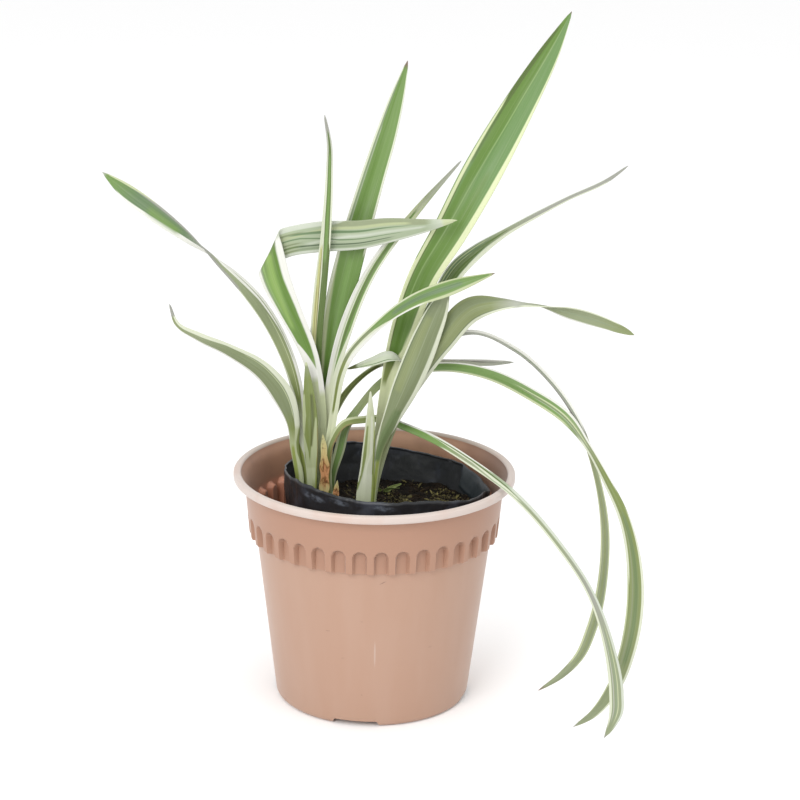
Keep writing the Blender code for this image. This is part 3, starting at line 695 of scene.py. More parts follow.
@dataclass(frozen=True)
class LeafFinish:
    """Variegated leaf: a tone that changes along it, lengthwise stripes over it, fibres and a dry tip."""

    name: str
    face: Face
    base: tuple[tuple[float, Tone], ...]
    stripes: tuple[Stripe, ...]
    tip: Tone = Tone.BROWN
    tip_from: float = 0.985
    back_tint: float = 0.35
    wander: float = 0.03
    fibre: float = 0.27
    face_shift: float = 0.0

    def build(self) -> Material:
        """Make the material."""
        graph = Graph(self.name)
        across, along = graph.leaf_place()
        sway = (graph.noise(graph.vector(along * 5.0, across * 3.0), 1.0, 3.0) - 0.5) * self.wander
        seen = across if self.face is Face.UPPER else 1.0 - across
        read = (seen + sway) * 0.5 + 0.25
        under = graph.attribute("under")
        hidden = under if self.face is Face.UPPER else 1.0 - under
        if self.face_shift:
            along = along + (hidden - 0.5) * self.face_shift
        colour = graph.ramp(along, [(share, tone.value) for share, tone in self.base])
        for one in self.stripes:
            colour = graph.mix(one.mask(graph, read, along), colour, one.tone.value)
        streaks = graph.noise(graph.vector(across * 34.0, along * 2.2, 3.0), 1.0, 3.0, 0.6)
        broad = graph.noise(graph.vector(across * 6.0, along * 5.0, 9.0), 1.0, 2.0)
        colour = graph.mix(streaks.ease(0.52, 0.72) * self.fibre, colour, Tone.PALE.value)
        colour = graph.mix(streaks.ease(0.5, 0.3) * self.fibre * 0.5, colour, Tone.DARK_GREEN.value)
        colour = graph.mix(broad.ease(0.45, 0.75) * 0.16, colour, Tone.PALE_SAGE.value)
        back = Tone.GREY_GREEN if self.face is Face.UPPER else Tone.MID_GREEN
        colour = graph.mix(hidden * self.back_tint, colour, back.value)
        frayed = along + (streaks - 0.5) * 0.01
        dry = frayed.ease(self.tip_from, min(self.tip_from + 0.015, 1.0))
        colour = graph.mix(dry, colour, self.tip.value)
        ribs = graph.noise(graph.vector(across * 46.0, along * 0.6, 5.0), 1.0, 1.0)
        rough = streaks * 0.12 + 0.4 + under * 0.08
        return graph.finish(colour, rough, ribs, 0.12, 0.5, Specular_IOR_Level=0.35)


# The pot


@dataclass
class Pot:
    """Round moulded pot: rolled lip, collar with a ring of arched recesses, channelled flat bottom."""

    height: float = 151.0
    rim_radius: float = 90.0
    rim_inner_radius: float = 85.0
    lip_depth: float = 5.2
    lip_round: float = 1.7
    collar_top_radius: float = 83.0
    collar_low_radius: float = 79.7
    collar_low_z: float = 109.0
    collar_round: float = 0.8
    body_top_radius: float = 75.3
    body_low_radius: float = 62.7
    foot_round: float = 3.6
    wall: float = 2.0
    floor_top_z: float = 6.5
    arch_count: int = 38
    arch_turn: float = math.radians(4.1)
    arch_half_width: float = 3.9
    arch_top_z: float = 124.3
    arch_floor_radius: float = 76.9
    arch_soft: float = 0.55
    column_half_width: float = 3.5
    column_top_z: float = 127.2
    column_soft: float = 0.9
    band_margin: float = 3.0
    channel_count: int = 4
    channel_turn: float = math.radians(-8.9)
    channel_width: float = 27.0
    channel_draft: float = 1.6
    channel_height: float = 3.7
    channel_inner_radius: float = 30.0
    hole_radius: float = 4.0
    hole_at: float = 44.0
    hole_steps: int = 20
    columns_per_arch: int = 20
    sharp_from: float = math.radians(50.0)
    # Radii and heights at which the half section has rows between its corners
    disc_rows: tuple[float, ...] = (8.0, 17.0, 26.0, 29.5, 30.0, 30.5, 31.0, 31.5)
    wall_rows: tuple[float, ...] = (4.2, 5.2, 8.0, 20.0, 45.0, 75.0, 98.0, 106.0, 108.4)
    collar_rows: tuple[float, ...] = (130.0, 138.0, 143.5, 145.2)
    shoulder: tuple[Span, ...] = ((84.5, 148.5), (83.7, 147.2), (82.9, 145.8), (82.2, 144.0), (81.5, 141.5),
                                  (80.8, 137.5), (80.1, 133.5), (79.8, 131.2))
    inner_wall_rows: tuple[float, ...] = (90.0, 60.0, 30.0, 12.0, 9.3)

    def wall_radius(self, z: float) -> float:
        """Radius of the tapered wall's outside at a height."""
        lean = (self.body_top_radius - self.body_low_radius) / (self.collar_low_z - self.foot_round)
        return self.body_low_radius + lean * (z - self.foot_round)

    def collar_radius(self, z: float) -> float:
        """Radius of the collar's outside at a height."""
        rise = self.height - self.lip_depth - self.collar_low_z
        slope = (self.collar_top_radius - self.collar_low_radius) / rise
        return self.collar_low_radius + slope * (z - self.collar_low_z)

    @staticmethod
    def from_nearest(angles: Array, count: int, turn: float) -> Array:
        """Angle from each place to the nearest of equally spaced features, the first of them at the turn."""
        pitch = math.tau / count
        return (angles - turn + pitch / 2.0) % pitch - pitch / 2.0

    def arched(self, angles: Array, heights: Array, radii: Array, half: float, top: float,
               soft: float) -> Array:
        """How fully each place lies in one of the ring's arches, from 0 to 1.

        Formula: distance from the arch's outline, a strip with a half circle on top, taken through a
        smooth step one softness wide on either side.
        """
        turned = self.from_nearest(angles, self.arch_count, self.arch_turn)
        above = np.maximum(heights - (top - half), 0.0)
        distance = np.hypot(turned * radii, above) - half
        return 1.0 - smooth_step(distance, -soft, soft)

    def notch(self, angles: Array, radii: Array) -> Array:
        """Height of the drainage channels' roof over each place of the foot, with sloping sides."""
        turned = self.from_nearest(angles, self.channel_count, self.channel_turn)
        across = np.abs(radii * np.sin(turned))
        along = radii * np.cos(turned)
        half = self.channel_width / 2.0
        rise = np.clip((half + self.channel_draft - across) / self.channel_draft, 0.0, 1.0)
        begun = np.clip(along - self.channel_inner_radius, 0.0, 1.0)
        return self.channel_height * rise * begun

    @staticmethod
    def corner(radius: float, z: float, bend: float, start: float, end: float, steps: int) -> list:
        """Points of a rounded corner of the half section; its angles are in degrees."""
        turns = np.radians(np.linspace(start, end, steps + 1))
        return [(radius + bend * math.cos(turn), z + bend * math.sin(turn)) for turn in turns]

    def outer_rows(self) -> list[tuple[float, float]]:
        """Half section of the outside, from the bottom disc to the lip's crown."""
        lip_z = self.height - self.lip_depth
        foot = self.body_low_radius - self.foot_round
        rows = [(radius, 0.0) for radius in (*self.disc_rows, *np.linspace(34.0, foot - 1.0, 4))]
        rows += self.corner(foot, self.foot_round, self.foot_round, -90, 0, 7)
        rows += [(self.wall_radius(z), z) for z in self.wall_rows]
        step = self.collar_low_radius - self.collar_round
        rows += [(self.body_top_radius, self.collar_low_z), (self.body_top_radius + 0.8, self.collar_low_z),
                 (self.body_top_radius + 1.6, self.collar_low_z)]
        rows += self.corner(step, self.collar_low_z + self.collar_round, self.collar_round, -90, 0, 3)
        low = self.collar_low_z + self.collar_round
        arched = (*np.linspace(low + 0.9, 118.0, 7), *np.linspace(118.6, 126.2, 15))
        rows += [(self.collar_radius(z), z) for z in (*arched, *self.collar_rows)]
        rows += [(self.collar_top_radius + 0.3, lip_z - 0.15), (self.collar_top_radius + 1.0, lip_z)]
        bend = self.lip_round
        rows += self.corner(self.rim_radius - bend, lip_z + bend, bend, -90, 0, 5)
        rows += self.corner(self.rim_radius - bend, self.height - bend, bend, 0, 90, 5)
        return rows

    def inner_rows(self) -> list[tuple[float, float]]:
        """Half section of the inside, from the lip's crown down to the floor."""
        bend, wall = self.lip_round, self.wall
        rows = self.corner(self.rim_inner_radius + bend, self.height - bend, bend, 90, 170, 5)
        rows += self.shoulder
        for z in (*np.linspace(130.0, 120.0, 20), *np.linspace(118.0, 109.5, 4)):
            rows.append((self.collar_radius(z) - wall, z))
        rows += [(self.collar_low_radius - wall - 1.0, 108.4), (self.body_top_radius - wall + 0.6, 107.4),
                 (self.body_top_radius - wall - 0.2, 106.0)]
        rows += [(self.wall_radius(z) - wall, z) for z in self.inner_wall_rows]
        low = self.body_low_radius - wall
        rows += [(low - 1.0, 7.3), *((radius, self.floor_top_z) for radius in (low - 2.8, 40.0, 16.0))]
        return rows

    def surface(self) -> tuple[Array, Array]:
        """The whole skin as a grid of rows and columns.

        Formula: each row's radius, less the depth of the recess or column where one lies; each row's
        height, lifted to the roof of a drainage channel where one lies under it.

        Returns:
            Points, and each point's zone.
        """
        outer, inner = np.array(self.outer_rows()), np.array(self.inner_rows())
        radii = np.concatenate((outer[:, 0], inner[:, 0]))[:, None]
        heights = np.concatenate((outer[:, 1], inner[:, 1]))[:, None]
        outside = (np.arange(len(radii)) < len(outer))[:, None]
        angles = around(self.arch_count * self.columns_per_arch)[None, :] + self.arch_turn
        floor_radius = np.where(outside, self.arch_floor_radius, self.arch_floor_radius - self.wall)
        in_band = ((heights < self.column_top_z + self.band_margin)
                   & (heights > self.collar_low_z - self.band_margin))
        depth = np.maximum(radii - floor_radius, 0.0) * in_band
        recess = self.arched(angles, heights, radii, self.arch_half_width, self.arch_top_z, self.arch_soft)
        column = self.arched(angles, heights, radii, self.column_half_width, self.column_top_z,
                             self.column_soft)
        round_radii = radii - depth * np.where(outside, recess, column)
        roof = self.notch(angles, radii) * (heights < self.channel_height)
        lifted = np.where(outside, np.maximum(heights, roof), heights)
        on_lip = outside & (radii > self.collar_top_radius + 0.5)
        on_crest = ~outside & (heights > self.height - 1.0)
        zones = np.where(on_lip | on_crest, ON_LIP, np.where(outside, OUTSIDE, INSIDE))
        zones = np.broadcast_to(zones, round_radii.shape)
        return joined(round_radii * np.sin(angles), -round_radii * np.cos(angles), lifted), zones

    def drill(self, pot: Item) -> None:
        """Cut a round drain hole through the floor in each channel."""
        cutter = MeshBuilder()
        steps, low, high = self.hole_steps, 1.0, self.floor_top_z + 3.0
        turns = around(steps)
        for turn in self.channel_turn + around(self.channel_count):
            centre = (self.hole_at * math.sin(turn), -self.hole_at * math.cos(turn))
            x = centre[0] + self.hole_radius * np.cos(turns)
            y = centre[1] + self.hole_radius * np.sin(turns)
            rings = [joined(x, y, z) for z in (low, high)]
            start = cutter.add_grid(np.stack(rings), wrap=True)
            cutter.close_ring(start, steps, (*centre, low), upwards=False)
            cutter.close_ring(start + steps, steps, (*centre, high), upwards=True)
        drill = cutter.build("drain_hole_drill", pot.data.materials[0])
        modifier = pot.modifiers.new("drain_holes", "BOOLEAN")
        modifier.operation = "DIFFERENCE"
        modifier.solver = "EXACT"
        modifier.object = drill
        bake_modifiers(pot)
        bpy.data.objects.remove(drill, do_unlink=True)

    def build(self) -> Item:
        """Make and dress the pot."""
        grid, zones = self.surface()
        rows, columns = grid.shape[:2]
        builder = MeshBuilder()
        start = builder.add_grid(grid, numbers=zones, wrap=True)
        builder.close_ring(start, columns, (0.0, 0.0, 0.0), upwards=False)
        builder.close_ring(start + (rows - 1) * columns, columns, (0.0, 0.0, self.floor_top_z), upwards=True,
                           number=INSIDE)
        pot = builder.build("flower_pot", MouldedPlastic().build(), "zone")
        self.drill(pot)
        pot.data.shade_smooth()
        pot.data.set_sharp_from_angle(angle=self.sharp_from)
        return enlist(pot, "terracotta_plastic", "pot")


# The nursery bag and what fills it


@dataclass
class NurseryBag:
    """Thin black bag inside the pot: an open cup with a crumpled wall and a cuff folded in at the right."""

    centre_x: float = 8.0
    rim_radius: float = 66.0
    foot_centre_x: float = 1.5
    foot_radius: float = 56.0
    foot_z: float = 7.0
    crumple: float = 1.3
    folds: tuple[tuple[int, float, float], ...] = ((7, 0.6, 0.5), (13, 2.1, 0.3), (23, 4.0, 0.2))
    rim: tuple[tuple[float, float], ...] = (
        (0, 138), (12, 136), (25, 137.5), (40, 141.5), (60, 141.5), (75, 142.5), (90, 145), (110, 149),
        (135, 151.5), (152, 150), (165, 148.5), (180, 150.5), (200, 153.5), (212, 155.5), (225, 155),
        (240, 153.3), (256, 152), (280, 152.2), (300, 150.3), (315, 147.2), (330, 144.5), (348, 142))
    cuff: tuple[tuple[float, float], ...] = ((0, 13), (30, 14), (37, 13), (39, 0.6), (348, 0.6), (351, 11))
    cuff_lean: float = 0.42
    film: float = 0.45
    film_inset: float = 0.25
    floor_rings: int = 6
    columns: int = 420
    rows: int = 60
    cuff_rows: int = 8
    # Length of the cuff over which it turns from a plain rim to a flap
    flap_length: Span = (3.0, 8.0)
    wrinkled_height: Span = (90.0, 135.0)
    # Each kind of wrinkle: stretch of its pattern in height, size, seed and depth
    wrinkles: tuple[tuple[float, float, int, float], ...] = ((0.8, 17.0, 3, 0.9), (1.3, 6.5, 8, 0.4))
    sunk: float = 0.35

    @staticmethod
    def read(table: Sequence[Span], angles: Array) -> Array:
        """Value at each angle, read evenly between the table's points, once round."""
        degrees = [point[0] for point in table] + [360.0 + table[0][0]]
        values = [point[1] for point in table] + [table[0][1]]
        return np.interp(np.degrees(angles) % 360.0, degrees, values)

    def wall(self, angles: Array, share: Array, inset: float) -> tuple[Array, Array]:
        """Plan places on the wall at a share of its height, with folds that deepen towards the rim."""
        folds = sum(part * np.sin(count * angles + phase) for count, phase, part in self.folds)
        radius = self.foot_radius + (self.rim_radius - self.foot_radius) * share
        radius = radius + self.crumple * share * folds - inset
        centre = self.foot_centre_x + (self.centre_x - self.foot_centre_x) * share
        return centre + radius * np.cos(angles), radius * np.sin(angles)

    def surface(self) -> tuple[Array, Array]:
        """The film as a grid from the foot's middle up the wall, over the rim and down the cuff.

        Formula: the wall's ring at each share of the height, moved in and out by ridged noise, which is
        deepest near the rim; then the cuff's ring, drawn in and down by its length at each angle.

        Returns:
            Points, and 1 on the long smooth cuff and 0 elsewhere.
        """
        angles = around(self.columns)[None, :]
        rim = self.read(self.rim, angles)
        floor_share = np.linspace(0.1, 1.0, self.floor_rings + 1)[:-1, None]
        share = np.linspace(0.0, 1.0, self.rows)[:, None]
        x, y = self.wall(angles, share, self.film_inset)
        z = self.foot_z + (rim - self.foot_z) * share
        wall = joined(x, y, z)
        floor_x, floor_y = self.wall(angles, np.zeros((1, 1)), self.film_inset)
        floor_x = self.foot_centre_x + (floor_x - self.foot_centre_x) * floor_share
        floor = joined(floor_x, floor_y * floor_share, self.foot_z)
        length = self.read(self.cuff, angles)
        down = np.linspace(0.0, 1.0, self.cuff_rows + 1)[1:, None]
        inward = np.minimum(down * 4.0, 1.0) * 0.8 + length * self.cuff_lean * down
        cuff_x, cuff_y = self.wall(angles, np.ones((1, 1)), self.film_inset)
        shrink = 1.0 - inward / np.hypot(cuff_x - self.centre_x, cuff_y)
        cuff_x = self.centre_x + (cuff_x - self.centre_x) * shrink
        cuff = joined(cuff_x, cuff_y * shrink, rim - length * down ** 1.3)
        grid = np.concatenate((floor, wall, cuff))
        flap = np.zeros(grid.shape[:2])
        flap_here = smooth_step(length, *self.flap_length)
        flap[-self.cuff_rows:] = flap_here
        outwards = grid - np.array((self.centre_x, 0.0, 0.0))
        outwards[..., 2] = 0.0
        outwards /= np.maximum(np.linalg.norm(outwards, axis=-1, keepdims=True), 1.0)
        upper = smooth_step(grid[..., 2], *self.wrinkled_height) * (1.0 - flap_here)
        ridges = sum((1.0 - 2.0 * np.abs(cloud(grid * (1.0, 1.0, stretch), size, seed))) * depth
                     for stretch, size, seed, depth in self.wrinkles)
        moved = upper * ridges - self.sunk * upper
        grid = grid + outwards * moved[..., None]
        ragged = smooth_step(grid[..., 2] - rim, -8.0, 0.0) * cloud(grid, 5.0, 21) * 0.5
        grid[..., 2] += ragged * (1.0 - flap)
        return grid, flap

    def build(self) -> Item:
        """Make and dress the bag."""
        builder = MeshBuilder()
        grid, flap = self.surface()
        start = builder.add_grid(grid, numbers=flap, wrap=True)
        builder.close_ring(start, self.columns, (self.foot_centre_x, 0.0, self.foot_z), upwards=False)
        bag = builder.build("black_nursery_bag", BlackFilm().build(), "cuff")
        shell = bag.modifiers.new("film", "SOLIDIFY")
        shell.thickness = self.film * MM
        shell.offset = -1.0
        bake_modifiers(bag)
        return enlist(bag, "black_film", "nursery_bag")


@dataclass
class Soil:
    """Moist potting mix in the bag, mounded at the left fan, with crumbs on it."""

    bag: NurseryBag
    level: float = 122.5
    foot_z: float = 8.2
    side_top: float = 116.0
    mound_height: float = 9.0
    mound_at: tuple[float, float] = (-37.0, 6.0)
    mound_spread: float = 19.0
    lumps: tuple[tuple[float, float, float, float], ...] = ((0.31, 0.0, 1.0, 0.7), (0.4, 0.55, 0.0, 0.5))
    # Size, seed and height of each kind of clod
    clods: tuple[tuple[float, int, float], ...] = ((7.0, 1, 1.0), (2.6, 2, 0.7), (1.1, 5, 0.45))
    gap: float = 1.6
    side_rows: int = 10
    columns: int = 300
    rings: int = 130
    crumbs: int = 900
    crumb_size: float = 2.1
    crumb_reach: float = 0.96
    crumb_seed: int = 11
    crumb_sizes: Span = (0.45, 1.0)
    crumb_squeeze: Span = (0.6, 1.2)

    def height(self, x: Array, y: Array) -> Array:
        """Height of the top: level, with a mound and gentle waves."""
        away = ((x - self.mound_at[0]) ** 2 + (y - self.mound_at[1]) ** 2) / (2.0 * self.mound_spread ** 2)
        waves = sum(rise * np.sin(wave_x * x + wave_y * y + phase)
                    for wave_x, wave_y, phase, rise in self.lumps)
        return self.level + self.mound_height * np.exp(-away) + waves

    def rough_height(self, x: Array, y: Array) -> Array:
        """The top with its clods: noise of three sizes over the smooth height."""
        places = joined(x, y, 0.0)
        return self.height(x, y) + sum(cloud(places, size, seed) * rise for size, seed, rise in self.clods)

    def edge(self, angles: Array) -> tuple[Array, Array]:
        """Plan places on the top's edge, at each angle."""
        share = (self.level - self.bag.foot_z) / (self.bag.read(self.bag.rim, angles) - self.bag.foot_z)
        return self.bag.wall(angles, share, self.gap)

    def build_bed(self) -> Item:
        """The filled body: sides that follow the bag, and a rough top."""
        angles = around(self.columns)[None, :]
        rim = self.bag.read(self.bag.rim, angles)
        heights = np.linspace(self.foot_z, self.side_top, self.side_rows)[:, None]
        share = (heights - self.bag.foot_z) / (rim - self.bag.foot_z)
        x, y = self.bag.wall(angles, share, self.gap)
        sides = joined(x, y, heights)
        edge_x, edge_y = self.edge(angles)
        spread = (1.0 - np.arange(self.rings)[:, None] / self.rings) ** 0.8
        top_x = self.bag.centre_x + (edge_x - self.bag.centre_x) * spread
        top_y = edge_y * spread
        top = joined(top_x, top_y, self.rough_height(top_x, top_y))
        builder = MeshBuilder()
        grid = np.concatenate((sides, top))
        start = builder.add_grid(grid, wrap=True)
        builder.close_ring(start, self.columns, (self.bag.foot_centre_x, 0.0, self.foot_z), upwards=False)
        middle = (self.bag.centre_x, 0.0, float(self.height(np.array(self.bag.centre_x), np.array(0.0))))
        builder.close_ring(start + (len(grid) - 1) * self.columns, self.columns, middle, upwards=True)
        return enlist(builder.build("soil_bed", PottingSoil().build()), "potting_soil", "soil")

    def scatter(self, count: int, seed: int) -> tuple[Array, np.random.Generator]:
        """Places spread evenly over the top, with the generator that chose them."""
        chosen = np.random.default_rng(seed)
        turns = chosen.uniform(0.0, math.tau, count)
        spread = np.sqrt(chosen.uniform(0.0, 1.0, count)) * self.crumb_reach
        x, y = self.edge(turns)
        x = self.bag.centre_x + (x - self.bag.centre_x) * spread
        y = y * spread
        return joined(x, y, self.rough_height(x, y)), chosen

    def build_crumbs(self) -> Item:
        """Loose crumbs: small lumps of eight corners, each squeezed and turned its own way.

        Formula: the corners of a small octahedron with a raised belt, scaled by a random size along each
        axis and moved to a place on the top.
        """
        centres, chosen = self.scatter(self.crumbs, self.crumb_seed)
        turns = around(6)
        belt = joined(np.cos(turns), np.sin(turns), 0.3 * np.sin(3.0 * turns))
        corners = np.concatenate((belt, ((0.0, 0.0, 0.9), (0.0, 0.0, -0.9))))
        size = chosen.uniform(*self.crumb_sizes, (self.crumbs, 1, 1)) ** 2.0 * self.crumb_size
        squeeze = chosen.uniform(*self.crumb_squeeze, (self.crumbs, 8, 3))
        points = centres[:, None, :] + corners[None] * squeeze * size
        ring = np.arange(6)
        after = np.roll(ring, -1)
        one = np.concatenate((joined(ring, after, 6), joined(after, ring, 7)))
        builder = MeshBuilder()
        builder.add_points(points.reshape(-1, 3))
        builder.add_faces((one[None] + 8 * np.arange(self.crumbs)[:, None, None]).reshape(-1, 3))
        finish = PottingSoil("soil_crumbs", srgb(26, 20, 15), srgb(56, 44, 30), srgb(96, 82, 52))
        return enlist(builder.build("soil_crumbs", finish.build()), "potting_soil")

    def build(self) -> list[Item]:
        """Make and dress the soil."""
        return [self.build_bed(), self.build_crumbs()]


@dataclass(frozen=True)
class Scraps:
    """A kind of small bent blade strewn on the soil: how many, their sizes, how they lean and where."""

    count: int
    length: Span
    width: Span
    slant: Span
    centre: Span
    spread: Span
    clump: float
    tint: Span


@dataclass
class Moss:
    """Olive moss and bits of dead leaf over the right of the soil: many short bent blades."""

    soil: Soil
    kinds: tuple[Scraps, ...] = (
        Scraps(1700, (1.4, 3.6), (0.25, 0.6), (0.2, 1.3), (34.0, 14.0), (24.0, 24.0), -0.1, (0.3, 0.2)),
        Scraps(1500, (1.2, 3.2), (0.3, 0.8), (0.7, 1.5), (36.0, 14.0), (20.0, 26.0), -0.45, (0.3, 0.24)),
        Scraps(230, (2.4, 6.0), (0.5, 1.3), (0.7, 1.5), (38.0, 12.0), (16.0, 24.0), -0.3, (0.62, 0.3)))
    soil_reach: float = 58.0
    root_depth: float = 0.2
    thickness: float = 0.16
    seed: int = 7
    clump_size: float = 9.0
    clump_seed: int = 31

    def strew(self, builder: MeshBuilder, kind: Scraps, seed: int) -> None:
        """Add one kind of blade.

        Formula: each blade is a strip of three cross lines, at its root, halfway and at its tip, that
        leans its own way by a random slant; its width shrinks to nothing at the tip.
        """
        chosen = np.random.default_rng(seed)
        x = chosen.normal(kind.centre[0], kind.spread[0], kind.count)
        y = chosen.normal(kind.centre[1], kind.spread[1], kind.count)
        inside = np.hypot(x - self.soil.bag.centre_x, y) < self.soil_reach
        keep = inside & (cloud(joined(x, y, 0.0), self.clump_size, self.clump_seed) > kind.clump)
        x, y = x[keep], y[keep]
        count = len(x)
        roots = joined(x, y, self.soil.rough_height(x, y) - self.root_depth)
        lean = chosen.uniform(0.0, math.tau, count)
        slant = chosen.uniform(*kind.slant, count)
        length = chosen.uniform(*kind.length, count)
        width = chosen.uniform(*kind.width, count)
        heading = joined(np.cos(lean) * np.sin(slant), np.sin(lean) * np.sin(slant), np.cos(slant))
        beside = joined(-np.sin(lean), np.cos(lean), chosen.uniform(-0.6, 0.6, count))
        droop = np.array((0.0, 0.0, -0.3))
        lines = []
        for share, thin in ((0.0, 0.6), (0.5, 1.0), (1.0, 0.08)):
            middle = roots + (heading * share + droop * share * share) * length[:, None]
            for side in (-1.0, 1.0):
                lines.append(middle + beside * (side * thin * width)[:, None])
        points = np.stack(lines, axis=1)
        below = points + np.array((0.0, 0.0, -self.thickness))
        whole = np.concatenate((points, below), axis=1)
        tint = np.repeat(np.clip(chosen.normal(*kind.tint, count), 0.0, 1.0)[:, None], 12, axis=1)
        one = np.array(((0, 1, 3, 2), (2, 3, 5, 4), (7, 6, 8, 9), (9, 8, 10, 11), (0, 2, 8, 6), (2, 4, 10, 8),
                        (3, 1, 7, 9), (5, 3, 9, 11), (1, 0, 6, 7), (4, 5, 11, 10)))
        start = builder.add_points(whole.reshape(-1, 3), numbers=tint)
        builder.add_faces((start + one[None] + 12 * np.arange(count)[:, None, None]).reshape(-1, 4))

    def build(self) -> Item:
        """Make and dress the moss."""
        builder = MeshBuilder()
        for index, kind in enumerate(self.kinds):
            self.strew(builder, kind, self.seed + index)
        finish = Greenery("moss_green", srgb(46, 40, 22), srgb(138, 128, 72), 0.85)
        return enlist(builder.build("moss", finish.build(), "tint"), "seedling_green")


# Leaves


@dataclass(frozen=True)
class Crease:
    """Where a leaf is folded over: a point on the crease, its direction and the bend's radius."""

    point: Point = (-66.2, 3.0, 288.2)
    direction: Point = (0.42, 0.0, 0.907)
    radius: float = 2.0
    stations_before: int = 6
    fold_share: float = 0.2

    def axes(self) -> tuple[Array, Array, Array]:
        """Direction of the crease, the direction beyond it, and the normal towards the front."""
        crease = np.array(self.direction)
        crease /= np.linalg.norm(crease)
        front = np.array((0.0, -1.0, 0.0))
        return crease, np.cross(front, crease), front

    def unfold(self, station: Station) -> Station:
        """Where a station past the crease would lie if the blade weren't folded."""
        crease, beyond, front = self.axes()
        away = np.asarray(station[:3], float) - self.point
        distance = -(away @ beyond) + math.pi * self.radius
        height = -((away @ front) + 2.0 * self.radius)
        place = np.asarray(self.point) + crease * (away @ crease) + beyond * distance + front * height
        return (*place, *station[3:])

    def fold(self, points: Array) -> Array:
        """Fold a straight blade.

        Formula: a point's distance beyond the crease is wound round a cylinder of the bend's radius up
        to half a turn, and the rest runs straight back behind.
        """
        crease, beyond, front = self.axes()
        away = np.asarray(points) - self.point
        along = (away @ crease)[..., None] * crease
        distance = away @ beyond
        turn = np.clip(distance / self.radius, 0.0, math.pi)
        overrun = np.maximum(distance - math.pi * self.radius, 0.0)
        radius = self.radius + away @ front
        ahead = np.where(distance > 0.0, radius * np.sin(turn) - overrun, distance)
        out = radius * np.cos(turn) - self.radius
        return np.asarray(self.point) + along + ahead[..., None] * beyond + out[..., None] * front


